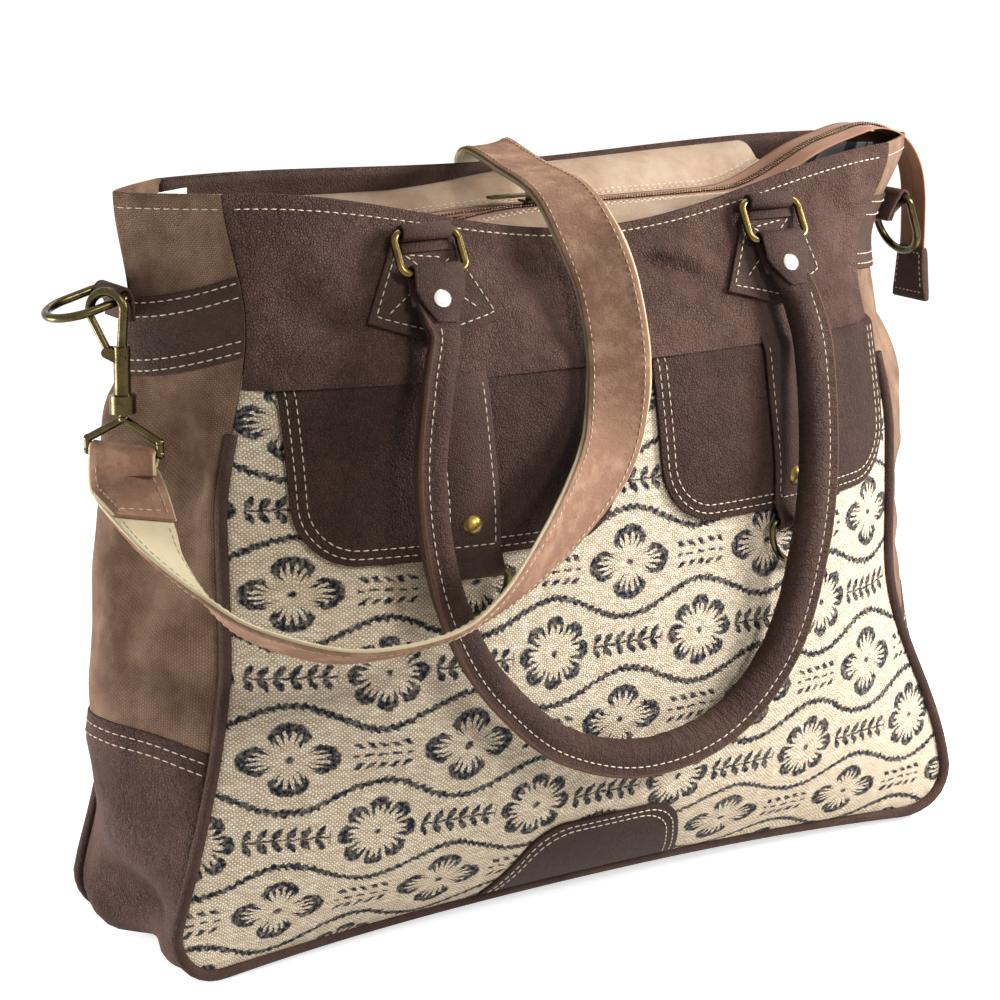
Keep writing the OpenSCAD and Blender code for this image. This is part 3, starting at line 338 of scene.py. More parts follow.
def piece(name, bm, finishes, body="bag", stands_for=(), thick=0.0, worn=0.0):
    mesh = bpy.data.meshes.new(name)
    for face in bm.faces:
        face.smooth = True
    bm.to_mesh(mesh)
    bm.free()
    for finish in finishes if isinstance(finishes, list) else [finishes]:
        mesh.materials.append(finish.material)
    obj = bpy.data.objects.new(name, mesh)
    bpy.context.collection.objects.link(obj)
    if thick:
        wall = obj.modifiers.new("thickness", "SOLIDIFY")
        wall.thickness, wall.offset = thick, -1
    if worn:
        edge = obj.modifiers.new("worn_edge", "BEVEL")
        edge.width, edge.segments, edge.limit_method, edge.angle_limit = worn, 2, "ANGLE", radians(50)
    if body:
        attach(obj, body)
    if stands_for:
        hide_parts(*stands_for)
    return obj


# Thread: one small bead, laid again and again along the seams; the teeth of the zip use it too

STITCH, STITCH_GAP, THREAD_R, FINE_THREAD_R = 0.0040, 0.0007, 0.00038, 0.00034


bm = bmesh.new()
bmesh.ops.create_icosphere(bm, subdivisions=1, radius=1)
bead = bpy.data.meshes.new("bead")
bm.to_mesh(bead)
bm.free()


def set_down(bm, shape, x, y, z, at):
    """Add a copy of a unit shape with the given axes and middle."""
    copy = shape.copy()
    copy.transform(Matrix((x, y, z)).transposed().to_4x4())
    copy.transform(Matrix.Translation(at))
    bm.from_mesh(copy)
    bpy.data.meshes.remove(copy)


def sew(bm, route, long=STITCH, gap=STITCH_GAP, thick=THREAD_R):
    """Stitches along a route of points, each with the way out of the surface."""
    run = lengths([point for point, _ in route])
    k, at = 0, gap / 2
    while at + long < run[-1]:
        ends = []
        for spot in (at, at + long):
            while run[k + 1] < spot:
                k += 1
            t = (spot - run[k]) / max(1e-9, run[k + 1] - run[k])
            ends.append((mix(route[k][0], route[k + 1][0], t), mix(route[k][1], route[k + 1][1], t)))
        way = ends[1][0] - ends[0][0]
        out = ends[0][1].normalized()
        across = out.cross(way).normalized()
        set_down(bm, bead, way / 2, across * thick, out * thick,
                 (ends[0][0] + ends[1][0]) / 2 + out * thick * 0.45)
        at += long + gap


def face_route(line, out, face):
    return [(face_pt(x, z, out(x, z) if callable(out) else out, face), face_normal(x, z, face))
            for x, z in line]


bag_thread = bmesh.new()


# Shader maths

def tone(code):
    """Linear colour of a hex code."""
    parts = [int(code[k:k + 2], 16) / 255 for k in (1, 3, 5)]
    return tuple(c / 12.92 if c <= 0.04045 else ((c + 0.055) / 1.055) ** 2.4 for c in parts) + (1.0,)


class Field:
    """A value over a surface; operators add Math nodes."""

    def __init__(self, tree, socket=None):
        self.tree, self.socket = tree, socket

    def node(self, kind, settings=None, sockets=None, out=0):
        made = self.tree.nodes.new(kind)
        for key, value in (settings or {}).items():
            if key == "stops":
                while len(made.color_ramp.elements) < len(value):
                    made.color_ramp.elements.new(0.5)
                for stop, (place, colour) in zip(made.color_ramp.elements, value):
                    stop.position, stop.color = place, colour
            else:
                setattr(made, key, value)
        for key, value in (sockets or {}).items():
            if isinstance(value, Field):
                self.tree.links.new(value.socket, made.inputs[key])
            else:
                made.inputs[key].default_value = value
        return Field(self.tree, made.outputs[out])

    def maths(self, operation, *values):
        return self.node("ShaderNodeMath", {"operation": operation}, dict(enumerate(values)))

    def __add__(self, other):
        return self.maths("ADD", self, other)

    def __sub__(self, other):
        return self.maths("SUBTRACT", self, other)

    def __rsub__(self, other):
        return self.maths("SUBTRACT", other, self)

    def __mul__(self, other):
        return self.maths("MULTIPLY", self, other)

    def __truediv__(self, other):
        return self.maths("DIVIDE", self, other)

    def __abs__(self):
        return self.maths("ABSOLUTE", self)

    __radd__, __rmul__ = __add__, __mul__

    def least(self, other):
        return self.maths("MINIMUM", self, other)

    def most(self, other):
        return self.maths("MAXIMUM", self, other)

    def power(self, n):
        return self.maths("POWER", self, n)

    def wave(self):
        return self.maths("SINE", self)

    def clear(self):
        """Held between 0 and 1."""
        return self.most(0.0).least(1.0)

    def fold(self, period):
        """Signed distance to the nearest whole step of a period."""
        turn = self / period + 0.5
        return (turn.maths("FRACT", turn) - 0.5) * period

    def inside(self, soft):
        """1 where the value is below zero, with a soft edge."""
        return (0.5 - self / soft).clear()

    def blend(self, a, b):
        """Mix of two colours by this value."""
        return self.node("ShaderNodeMix", {"data_type": "RGBA"}, {0: self, 6: a, 7: b}, out=2)


class Finish:
    """A material with its shader; constants go straight on the shader's sockets."""

    def __init__(self, name, **fixed):
        self.material = bpy.data.materials.new(name)
        self.material.use_nodes = True
        self.tree = self.material.node_tree
        self.shader = self.tree.nodes["Principled BSDF"]
        for key, value in fixed.items():
            self.shader.inputs[key.replace("_", " ")].default_value = value
        self.start = Field(self.tree)
        self.place = self.start.node("ShaderNodeTexCoord", out=3)

    def flat(self):
        """Place on the flat cloth, in millimetres: along the width and along the length."""
        spot = self.start.node("ShaderNodeUVMap", {"uv_map": "flat"})
        return [self.start.node("ShaderNodeSeparateXYZ", {}, {0: spot}, out=k) * 1000 for k in (0, 1)]

    def cloud(self, size, detail=3.0, at=None, rough=0.55):
        """Soft noise with lumps of the given size."""
        return self.start.node("ShaderNodeTexNoise", {}, {
            "Vector": at or self.place, "Scale": 1 / size, "Detail": detail, "Roughness": rough})

    def cells(self, size, feature="F1", at=None):
        return self.start.node("ShaderNodeTexVoronoi", {"feature": feature}, {
            "Vector": at or self.place, "Scale": 1 / size})

    def vector(self, x, y, z=0.0):
        return self.start.node("ShaderNodeCombineXYZ", {}, {0: x, 1: y, 2: z})

    def set(self, socket, value):
        self.tree.links.new(value.socket, self.shader.inputs[socket])

    def bump(self, height, distance, strength=1.0):
        self.set("Normal", self.start.node("ShaderNodeBump", {}, {
            "Height": height, "Distance": distance, "Strength": strength}))


def weave(x, z, px, pz, low=0.35):
    """Plain weave: height of the threads, 0 in the gaps and 1 on the crowns, which step from row to row."""
    turn = ((x / px).maths("FLOOR", x / px) + (z / pz).maths("FLOOR", z / pz)) / 2
    over = turn.maths("FRACT", turn) * 2
    crown = (abs((x * (pi / px)).wave()) * abs((z * (pi / pz)).wave())).power(0.55)
    return crown * (low + over * (1 - low))


def leather_finish(name, base, light, dark, grain, depth, pebble_shade=0.35, wrinkle=0.6, slack=4.0, cross=0.0):
    finish = Finish(name, Specular_IOR_Level=0.10)
    edge = finish.cells(grain, "DISTANCE_TO_EDGE")
    crease = (1 - edge * 5.5).clear()
    fine = finish.cloud(0.0006, 2.0)
    worn = finish.cloud(0.026, 5.0, rough=0.6)
    broad = finish.cloud(0.090, 2.0)
    sag = finish.cloud(0.024, 2.0)
    vein = (1 - abs(finish.cloud(0.011, 3.0, rough=0.6) - 0.5) * 16).clear() * wrinkle
    lit = ((worn - 0.40) * 2.6).clear() * 0.6 + ((broad - 0.40) * 2.4).clear() * 0.4
    colour = lit.blend(tone(base), tone(light))
    # Painted shade: the creases between the grain's pebbles and the wrinkle lines are darkened as if their
    # hollows lay in shade; the fine noise adds a random tone.
    shade = crease * pebble_shade + vein * 0.28 + ((fine - 0.5) * 1.8).clear() * 0.25
    finish.set("Base Color", shade.clear().blend(colour, tone(dark)))
    finish.set("Roughness", 0.52 + worn * 0.22)
    height = (edge * 4).least(1.0) + fine * 0.6 - vein * 1.2 + sag * slack
    if cross:
        x, z = finish.flat()
        crimp = finish.cloud(0.0042, 3.0, at=finish.vector(x * 0.00035, z * 0.001))
        height = height - (1 - abs(crimp - 0.5) * 9).clear() * cross
    finish.bump(height, depth, 0.95)
    return finish


def canvas_finish(name, base, light, dark, thread=1.0, fade=0.030, slack=3.0):
    finish = Finish(name, Roughness=0.92, Specular_IOR_Level=0.12)
    x, z = finish.flat()
    slub = finish.cloud(0.005, 3.0)
    height = weave(x + slub * 0.9, z + slub * 0.9, thread, thread * 0.85, 0.5)
    wash = finish.cloud(fade, 6.0, rough=0.62)
    streak = finish.cloud(0.05, 4.0, at=finish.vector(x * 0.006, z * 0.0010))
    sag = finish.cloud(0.022, 2.0, at=finish.vector(x * 0.001, z * 0.0005))
    pale = ((wash - 0.42) * 3.0).clear() * 0.75 + ((streak - 0.46) * 3.4).clear() * 0.25
    colour = pale.blend(tone(base), tone(light))
    # Painted shade: the gaps between the threads are darkened as if in shade; the low patches of the wash add
    # a random darker mottle.
    shade = (1 - height) * 0.70 + ((0.45 - wash) * 3.0).clear() * 0.40
    finish.set("Base Color", shade.clear().blend(colour, tone(dark)))
    finish.bump(height + slub * 1.2 + sag * slack, 0.00038, 0.95)
    return finish


# Repeat of the print in millimetres, and its slight turn on the cloth
PRINT_W, PRINT_H = 93.6, 86.0
FLOWER_X, FLOWER_Z, ROSETTE_X = -11.5, 32.0, 36.0
SKEW_X, SKEW_Z, SKEW_FROM = 0.045, 0.016, 120.0


def flower(dx, dz, wide, tall, petals, notch, point, rim, stroke, strokes, gap):
    """Petals with a dark rim and strokes that run in towards a dot."""
    qx, qz = dx / wide, dz / tall
    far = (qx * qx + qz * qz).power(0.5)
    around = qz.maths("ARCTAN2", qz, qx)
    turn = abs(around.fold(2 * pi / petals))
    depth = 1 - (turn * (petals / pi)).power(point) * notch - far
    comb = (1 - abs(around.fold(2 * pi / strokes)) * (strokes / pi * 1.45)).most(0.0)
    ink = (0 - depth).inside(0.05) * (depth - comb * stroke - rim).inside(0.06)
    return (ink * (turn - (pi / petals - gap)).inside(0.05)).most((far - 0.085).inside(0.05))


def block_print(x, z):
    """Ink of the traditional flower and vine print, 0 to 1."""
    ax, az = (x - FLOWER_X).fold(PRINT_W), (z - FLOWER_Z).fold(PRINT_H)
    bx, bz = (x - ROSETTE_X).fold(PRINT_W), (z - FLOWER_Z - PRINT_H / 2).fold(PRINT_H)
    ink = flower(ax, az, 25.5, 20.0, 4, 0.46, 1.9, 0.20, 0.38, 28, 0.16)
    ink = ink.most(flower(bx, bz, 21.0, 19.5, 8, 0.22, 2.2, 0.23, 0.22, 24, 0.06))
    # Leafy sprig beside each rosette
    sx = (x - ROSETTE_X - PRINT_W / 2).fold(PRINT_W)
    off = abs(bz)
    wide = 1 - ((off - 3.4) / 3.7).power(2.0)
    leaf = (abs((sx - off * 0.55).fold(7.4)) - wide * 2.35).inside(0.8).most((off - 0.6).inside(0.5))
    ink = ink.most(leaf * (abs(sx) - 22.0).inside(1.0) * (off - 6.8).inside(0.6))
    # Three rows of dashes beside each flower
    hx = (x - FLOWER_X - PRINT_W / 2).fold(PRINT_W)
    row = abs(az) - 5.6
    slanted = (abs((hx + row * 0.9).fold(6.3)) - 1.8).inside(0.7) * (abs(row) - 1.6).inside(0.7)
    level = (abs(hx.fold(7.4)) - 2.4).inside(0.6) * (abs(az) - 0.7).inside(0.6)
    ink = ink.most(slanted.most(level) * (abs(hx) - 15.5).inside(1.0))
    # Toothed vine above and below the flowers
    swing = ax * (2 * pi / PRINT_W)
    rise = abs(az) - swing.maths("COSINE", swing) * 7.2 - PRINT_H / 4
    tooth = (x + rise * 0.9) / 4.3
    vine = (abs(rise) - 0.95 - tooth.maths("FRACT", tooth) * 1.5).inside(0.8)
    return ink.most(vine)


def print_finish():
    finish = Finish("printed_cotton", Roughness=0.95, Specular_IOR_Level=0.08)
    x, z = finish.flat()
    wobble = finish.cloud(0.0028, 3.0)
    drift = finish.cloud(0.030, 2.0)
    spread = finish.cloud(0.0033, 3.0, at=finish.vector(x * 0.001, z * 0.001, 7.0))
    px = x - (z - SKEW_FROM) * SKEW_X + (wobble - 0.5) * 3.6 + (drift - 0.5) * 3.0
    pz = z + x * SKEW_Z + (spread - 0.5) * 3.6 + (drift - 0.5) * 3.0
    wander = finish.cloud(0.011, 3.0)
    height = weave(x + (wander - 0.5) * 4.5, z + (wander - 0.5) * 3.6, 1.3, 1.08)
    slub = finish.cloud(0.0035, 3.0, at=finish.vector(x * 0.0005, z * 0.0014))
    # Painted shade: the gaps between the threads take the dark gap colour and the crowns the pale one; the
    # slubs add a random tone.
    yarn_and_gap_shade = height * 0.90 + ((slub - 0.42) * 2.4).clear() * 0.42
    soil = finish.cloud(0.024, 5.0)
    cloth = yarn_and_gap_shade.clear().blend(tone("#967a53"), tone("#fdf3e0"))
    cloth = (((soil - 0.50) * 3.4).clear() * 0.25).blend(cloth, tone("#c9b08a"))
    thread = (abs(x - 12.0) - 0.35).inside(0.3) * (finish.cloud(0.012) - 0.35).clear()
    cloth = (thread * 0.7).blend(cloth, tone("#cf9484"))
    held = (0.98 - (1 - height) * 0.08 + (finish.cloud(0.0021, 3.0, rough=0.7) - 0.52) * 1.5).clear()
    ink = block_print(px, pz) * held
    finish.set("Base Color", ink.clear().blend(cloth, tone("#161e2b")))
    finish.bump(height + slub * 0.4 + finish.cloud(0.030, 2.0) * 3.0, 0.00050, 0.95)
    return finish


def suede_finish():
    finish = Finish("strap_suede", Roughness=0.95, Specular_IOR_Level=0.08)
    nap = finish.cloud(0.0010, 4.0)
    brushed = finish.cloud(0.014, 5.0, rough=0.65)
    worn = ((brushed - 0.45) * 2.4).clear() * 0.7 + nap * 0.3
    finish.set("Base Color", worn.clear().blend(tone("#7b5b48"), tone("#c6a087")))
    finish.bump(nap + brushed * 3.0, 0.00036, 0.9)
    return finish


def lining_finish():
    finish = Finish("striped_lining", Roughness=0.9, Specular_IOR_Level=0.15)
    x, z = finish.flat()
    stripe = (abs(x.fold(26.0)) - 5.0).inside(0.5)
    pin = (abs((x - 11.0).fold(26.0)) - 0.9).inside(0.4)
    height = weave(x, z, 0.8, 0.8)
    soft = finish.cloud(0.02, 3.0)
    white = soft.blend(tone("#dfe0e0"), tone("#f2f1ee"))
    finish.set("Base Color", (stripe.most(pin) * (0.8 + height * 0.2)).blend(white, tone("#2c3a63")))
    finish.bump(height, 0.00012, 0.6)
    return finish


def brass_finish(name="antique_brass", bright="#544a2f", dull="#15110a", rough=0.22):
    finish = Finish(name, Metallic=1.0)
    patina = finish.cloud(0.006, 4.0)
    specks = finish.cloud(0.0012, 3.0)
    aged = ((patina - 0.42) * 2.6).clear() * 0.7 + ((specks - 0.52) * 3.0).clear() * 0.4
    finish.set("Base Color", aged.clear().blend(tone(bright), tone(dull)))
    finish.set("Roughness", rough + aged * 0.20)
    finish.bump(specks, 0.00003, 0.4)
    return finish


def nickel_finish():
    finish = Finish("nickel", Metallic=1.0)
    scuff = finish.cloud(0.0016, 4.0)
    finish.set("Base Color", scuff.blend(tone("#f1efe9"), tone("#dad7cf")))
    finish.set("Roughness", 0.20 + scuff * 0.18)
    finish.bump(scuff, 0.00005, 0.4)
    return finish


def thread_finish(name, dark, light):
    finish = Finish(name, Roughness=0.85, Specular_IOR_Level=0.2)
    twist = finish.cloud(0.0009, 2.0)
    aged = finish.cloud(0.018, 2.0)
    finish.set("Base Color", (twist * 0.5 + aged * 0.5).blend(tone(dark), tone(light)))
    finish.bump(twist, 0.00012, 0.8)
    return finish


def tape_finish(name, base, light, dark, rib=1.1):
    finish = Finish(name, Roughness=0.85, Specular_IOR_Level=0.2, Sheen_Weight=0.1)
    x, z = finish.flat()
    ridge = abs(((x + z * 0.55) * (pi / rib)).wave())
    wash = finish.cloud(0.022, 4.0)
    colour = ((wash - 0.42) * 2.4).clear().blend(tone(base), tone(light))
    # Painted shade: the grooves between the ribs are darkened as if in shade.
    finish.set("Base Color", ((1 - ridge) * 0.45).blend(colour, tone(dark)))
    finish.bump(ridge, 0.00018, 0.8)
    return finish


def edge_finish():
    finish = Finish("raw_leather_edge", Roughness=0.95, Specular_IOR_Level=0.1)
    fibre = finish.cloud(0.0009, 4.0, rough=0.7)
    finish.set("Base Color", fibre.blend(tone("#33231d"), tone("#7d5f4e")))
    finish.bump(fibre, 0.0006, 1.0)
    return finish


brown_leather = leather_finish("brown_leather", "#4a352e", "#775c52", "#21150f", 0.0015, 0.00062, slack=3.5)
trim_leather = leather_finish(
    "trim_leather", "#42302a", "#5f493f", "#221612", 0.0014, 0.00030, wrinkle=0.4, slack=2.0)
flap_leather = leather_finish("flap_leather", "#3a2822", "#564037", "#1a100d", 0.0016, 0.00044, pebble_shade=0.45)
patch_leather = leather_finish("patch_leather", "#36251f", "#4b372f", "#1a110e", 0.0011, 0.00040, slack=2.0)
roll_leather = leather_finish(
    "roll_leather", "#42302a", "#5f493f", "#221612", 0.0014, 0.00036, wrinkle=0.4, slack=1.5, cross=1.8)
raw_edge = edge_finish()
brown_canvas = canvas_finish(
    "brown_canvas", "#846755", "#b99a80", "#3d2d23", thread=1.1, fade=0.020, slack=7.0)
strap_canvas = canvas_finish("strap_canvas", "#dccdaa", "#f0e5c8", "#b9a680", thread=0.7)
tan_cloth = canvas_finish("tan_cloth", "#c3a78d", "#dfccb6", "#957a61", thread=0.7, fade=0.02, slack=4.0)
printed_cotton = print_finish()
strap_suede = suede_finish()
striped_lining = lining_finish()
zip_tape = tape_finish("zip_tape", "#9e6e52", "#bb8c6d", "#684432")
zip_teeth = brass_finish("zip_teeth", "#7d6552", "#3c2b21")
antique_brass = brass_finish()
stud_brass = brass_finish("stud_brass", "#9c8347", "#5a4a25", 0.38)
ring_brass = brass_finish("ring_brass", "#6d5c35", "#241d0d")
nickel = nickel_finish()
cream_thread = thread_finish("cream_thread", "#b3a086", "#eee4cf")
dull_thread = thread_finish("dull_thread", "#a1886d", "#d9c7a8")


# Body of the bag

def on_face(zs, left, right, cols, face, out):
    """Cloth that follows a panel, between a left and a right edge at each height."""
    def place(i, j):
        z = zs[j]
        x = mix(left(z), right(z), i / cols if face < 0 else 1 - i / cols)
        return face_pt(x, z, out(x, z) if callable(out) else out, face), (x, z)
    return laid(cols, len(zs) - 1, place)


def panel_left(z):
    return corner_in(z) - reach(z, LEFT)


def panel_right(z):
    return reach(z, RIGHT) - corner_in(z)


hem_rows = [CORNER_R * (1 - cos(a)) for a in steps(0, pi / 2, 8)]
panel_rows = hem_rows[:-1] + steps(CORNER_R, BAND_Z + 0.006, 56)
front_panel = piece("front_panel_print", on_face(panel_rows, panel_left, panel_right, 90, FRONT, 0),
                    printed_cotton, stands_for=["front_panel"], thick=WALL)
back_panel = piece("back_panel_canvas", on_face(panel_rows, panel_left, panel_right, 80, BACK, 0),
                   brown_canvas, stands_for=["back_panel"], thick=WALL)


def band_out(x, z):
    """The hem stands off the flaps, and lies flat at the side seams."""
    near = min(x - panel_left(z), panel_right(z) - x)
    return 0.0006 + 0.0036 * smooth((BAND_Z + 0.012 - z) / 0.014) * smooth(near / 0.016)


band_rows = steps(BAND_Z - 0.0032, BAG_H, 34)
front_band = piece("front_band_leather", on_face(band_rows, panel_left, panel_right, 84, FRONT, band_out),
                   brown_leather, stands_for=["front_band"], thick=0.0026, worn=0.0008)
back_band = piece("back_band_leather", on_face(band_rows, panel_left, panel_right, 70, BACK, 0.0004),
                  brown_leather, stands_for=["back_band"], thick=0.0024, worn=0.0008)

RIM_STITCH = 0.0075
for face, out in ((FRONT, band_out), (BACK, 0.0004)):
    z = BAG_H - RIM_STITCH
    line = [(x, z) for x in steps(panel_left(z) + 0.004, panel_right(z) - 0.004, 160)]
    sew(bag_thread, face_route(line, out, face))
line = [(x, BAND_Z + 0.006) for x in steps(panel_left(BAND_Z) + 0.004, panel_right(BAND_Z) - 0.004, 120)]
sew(bag_thread, face_route(line, 0.0004, BACK))


def on_gusset(zs, side, cols, spot):
    """Cloth that follows a gusset; spot gives a point of it."""
    def place(i, j):
        t = side * mix(-1, 1, i / cols)
        return spot(t, zs[j], side), (t * 0.068, zs[j])
    return laid(cols, len(zs) - 1, place)


def gusset_spot(t, z, side):
    return gusset_pt(t, z, 0, side)


def strap_lift_off(t):
    """A strap lies on the gusset and runs into the seams at both ends."""
    return PATCH_OUT - 0.0020 * smooth((abs(t) - 0.90) / 0.10)


def strap_mid(side):
    return GUSSET_STRAP_Z + side * GUSSET_STRAP_TILT


def strap_sag(t, side):
    """The strap hangs lower in the middle of the gusset than at the seams."""
    return mix(-0.0085, 0.0035, t * t) if side == LEFT else mix(-0.004, 0.001, t * t)


def strap_spot(t, z, side):
    return gusset_pt(t, z + strap_sag(t, side), strap_lift_off(t), side)


for side, word in ENDS:
    gusset = piece(word + "_gusset_canvas", on_gusset(
        steps(BASE_SEAM_Z - 0.006, BAG_H, 70), side, 40, gusset_spot),
        brown_canvas, stands_for=[word + "_gusset"], thick=WALL, worn=0.0005)
    low, high = strap_mid(side) - GUSSET_STRAP_W / 2, strap_mid(side) + GUSSET_STRAP_W / 2
    strap = piece(word + "_gusset_trim_leather", on_gusset(
        steps(low, high, 10), side, 36, strap_spot),
        trim_leather, stands_for=[word + "_gusset_strap"], thick=LEATHER, worn=0.0006)
    for z in (low + 0.0030, low + 0.0085, high - 0.0030, high - 0.0100):
        sew(bag_thread, [(strap_spot(t, z, side), gusset_normal(t, z, side)) for t in steps(-0.99, 0.99, 60)])
    z = BAG_H - RIM_STITCH
    sew(bag_thread, [(gusset_spot(t, z, side), gusset_normal(t, z, side)) for t in steps(-0.97, 0.97, 60)])

base_line = hem_line(BASE_SEAM_Z, 16)
BASE_COLS = 24
BASE_RISE, SEAM_RISE = 0.015, 0.003


def base_spot(q, t):
    """The base follows its seams; its ends rise towards the middle of each gusset."""
    _, z, nx, nz = q
    if nz == 0:
        z += (SEAM_RISE + BASE_RISE * (1 - t * t)) * smooth((z - CORNER_R) / (BASE_SEAM_Z - CORNER_R))
        side = -1 if nx < 0 else 1
        return base_pt((side * reach(z, side), z, nx, nz), t)
    return base_pt(q, t)


def base_place(i, j):
    t = 1 - 2 * i / BASE_COLS
    return base_spot(base_line[-1 - j], t), (t * 0.06, j * 0.01)


base = piece("base_leather", laid(BASE_COLS, len(base_line) - 1, base_place),
             brown_leather, stands_for=["base_gusset"], thick=WALL, worn=0.0005)
for side in (LEFT, RIGHT):
    for drop in (0.0055, 0.0115):
        z = BASE_SEAM_Z - drop
        q = (side * reach(z, side), z, side, 0)
        sew(bag_thread, [(base_spot(q, t), Vector((side, 0.6 * t, 0)).normalized())
                         for t in steps(-0.96, 0.96, 60)])


def round_section(r, n=10):
    ring = [(r * cos(2 * pi * k / n), r * sin(2 * pi * k / n)) for k in range(n)]
    return lambda k: ring


for face, word in FACES:
    path = [face_pt(x, z, 0, face) + (PIPING_R - 0.0018) * Vector((0.6 * nx, 0.8 * face, 0.6 * nz))
            for x, z, nx, nz in hem_line(PIPING_TOP, 24)]
    piece(word + "_piping_leather", carried(path, [DEEP] * len(path), round_section(PIPING_R)),
          trim_leather, stands_for=[word + "_piping"])

# Leather patch over the middle of the bottom seam
PATCH_X, PATCH_W, PATCH_H, PATCH_TOP_R, PATCH_SLOPE = -0.008, 0.130, 0.060, 0.016, 0.4
PATCH_LOW = PIPING_R + 0.002


def patch_half(z, inset=0.0):
    top, r = PATCH_H - inset, PATCH_TOP_R
    corner = r - sqrt(max(0, r * r - (z - top + r) ** 2)) if z > top - r else 0
    return PATCH_W / 2 - inset * 1.08 - PATCH_SLOPE * (z - PATCH_LOW) - corner


patch_rows = steps(PATCH_LOW, PATCH_H - PATCH_TOP_R, 10) + [
    PATCH_H - PATCH_TOP_R + PATCH_TOP_R * sin(radians(a)) for a in (12, 24, 36, 48, 60, 72, 84)]
patch = piece("base_patch_leather", on_face(
    patch_rows, lambda z: PATCH_X - patch_half(z), lambda z: PATCH_X + patch_half(z), 28, FRONT, PATCH_OUT),
    patch_leather, stands_for=["front_base_patch"], thick=LEATHER, worn=0.0006)
for inset in (0.0036, 0.0078):
    zs = steps(PATCH_LOW + 0.001, PATCH_H - PATCH_TOP_R, 16) + [
        PATCH_H - inset - PATCH_TOP_R + PATCH_TOP_R * sin(radians(a)) for a in range(30, 91, 5)]
    up = [(PATCH_X - patch_half(z, inset), z) for z in zs]
    down = [(PATCH_X + patch_half(z, inset), z) for z in reversed(zs)]
    sew(bag_thread, face_route(up + down, PATCH_OUT, FRONT))


# Lining, hung inside from the rim

def lining_ring(z):
    inside = WALL + 0.001 + 0.004 * smooth((BAG_H - 0.040 - z) / 0.030)
    spots = []
    for face in (FRONT, BACK):
        for s in steps(-0.92, 0.92, 30):
            x = -face * s
            spots.append(face_pt(x * (reach(z, -1 if x < 0 else 1) - corner_in(z)), z, -inside, face))
        for t in steps(-0.55, 0.55, 8):
            tucked = 0.024 * smooth((0.085 - z) / 0.03) if -face == LEFT else 0.0
            spots.append(gusset_pt(-face * t, z, -WALL - 0.005 - tucked, -face))
    return spots


FACING_H, FACING_IN = 0.018, 0.0040


def facing_in(z):
    """The leather turns over the rim and hangs just inside the lining."""
    return 0.0010 + (FACING_IN - 0.0010) * smooth((BAG_H - z) / 0.004)


facing_rows = [BAG_H - FACING_H * (k / 8) ** 1.6 for k in range(8, -1, -1)]
for face, word in FACES:
    bm = on_face(facing_rows, panel_left, panel_right, 70, face, lambda x, z: -facing_in(z))
    bmesh.ops.reverse_faces(bm, faces=bm.faces)
    facing = piece(word + "_rim_facing", bm, trim_leather, thick=0.0006)
    word + "_band_leather"
side_rows = [BAG_H - 0.010 * (k / 6) ** 1.6 for k in range(6, -1, -1)]
for side, word in ENDS:
    def facing_place(i, j):
        z = side_rows[j]
        return gusset_pt(side * mix(-1, 1, i / 24), z, -facing_in(z), side), (i * 0.004, z)
    bm = laid(24, 6, facing_place)
    bmesh.ops.reverse_faces(bm, faces=bm.faces)
    facing = piece(word + "_rim_facing", bm, brown_canvas, thick=0.0006)
    word + "_gusset_canvas"

lining_rows = [0.018, 0.034] + steps(0.060, 0.345, 14)
lining_rows += [BAG_H - d for d in (0.050, 0.040, 0.030, 0.020, 0.012, 0.006)]
lining_rings = [lining_ring(z) for z in lining_rows]
m = len(lining_rings[0])
bm = laid(m, len(lining_rows) - 1, lambda i, j: (lining_rings[j][i % m], (i * 0.0128, lining_rows[j])))
bmesh.ops.remove_doubles(bm, verts=bm.verts, dist=1e-7)
floor_edges = [e for e in bm.edges if e.is_boundary and max(v.co.z for v in e.verts) < 0.1]
bmesh.ops.contextual_create(bm, geom=floor_edges)
lining = piece("lining_cloth", bm, striped_lining, stands_for=["lining"], thick=LINING_T)


# Pockets

FLAP_TOP, FLAP_TOP_R = BAND_Z - 0.0012, 0.006


def flap_line(side, inset):
    """Outline of a flap from its top left corner round to its top right one."""
    x0, half, r = side * POCKET_X, FLAP_W / 2 - inset, FLAP_R - inset
    top, low = FLAP_TOP - 0.002, BAND_Z - FLAP_H + inset
    line = [(x0 - half, z) for z in steps(top, low + r, 20)[:-1]]
    line += [(x0 - half + r - r * cos(a), low + r - r * sin(a)) for a in steps(0, pi / 2, 12)]
    line += [(x, low) for x in steps(x0 - half + r, x0 + half - r, 40)[1:]]
    line += [(x0 + half - r + r * sin(a), low + r - r * cos(a)) for a in steps(0, pi / 2, 12)[1:]]
    return line + [(x0 + half, z) for z in steps(low + r, top, 20)[1:]]


def flap_half(z):
    low = BAND_Z - FLAP_H
    if z > FLAP_TOP - FLAP_TOP_R:
        return FLAP_W / 2 - FLAP_TOP_R + sqrt(max(0, FLAP_TOP_R ** 2 - (z - FLAP_TOP + FLAP_TOP_R) ** 2))
    drop = FLAP_R - sqrt(max(0, FLAP_R ** 2 - (low + FLAP_R - z) ** 2)) if z < low + FLAP_R else 0
    return FLAP_W / 2 - drop


def flap_out(side):
    def out(x, z):
        near = min(flap_half(z) - abs(x - side * POCKET_X), z - BAND_Z + FLAP_H)
        puff = 0.0018 * smooth(near / 0.030) + 0.0010 * ripple(x, z, 0.040, 6.6) * smooth(near / 0.02)
        return mix(0.0002, PATCH_OUT, smooth((FLAP_TOP - z) / 0.005)) + puff
    return out


POCKET_FOLD_R = POCKET_RING_R + FIT + LEATHER
POCKET_BAR_Z = BAND_Z - FLAP_H - POCKET_FOLD_R - 0.0025


def pocket_bar(side):
    left, right = (face_pt(side * POCKET_X + k * POCKET_STRAP_W / 2, POCKET_BAR_Z, STRAP_OUT + FIT, FRONT)
                   for k in (-1, 1))
    return (left + right) / 2, (right - left).normalized()


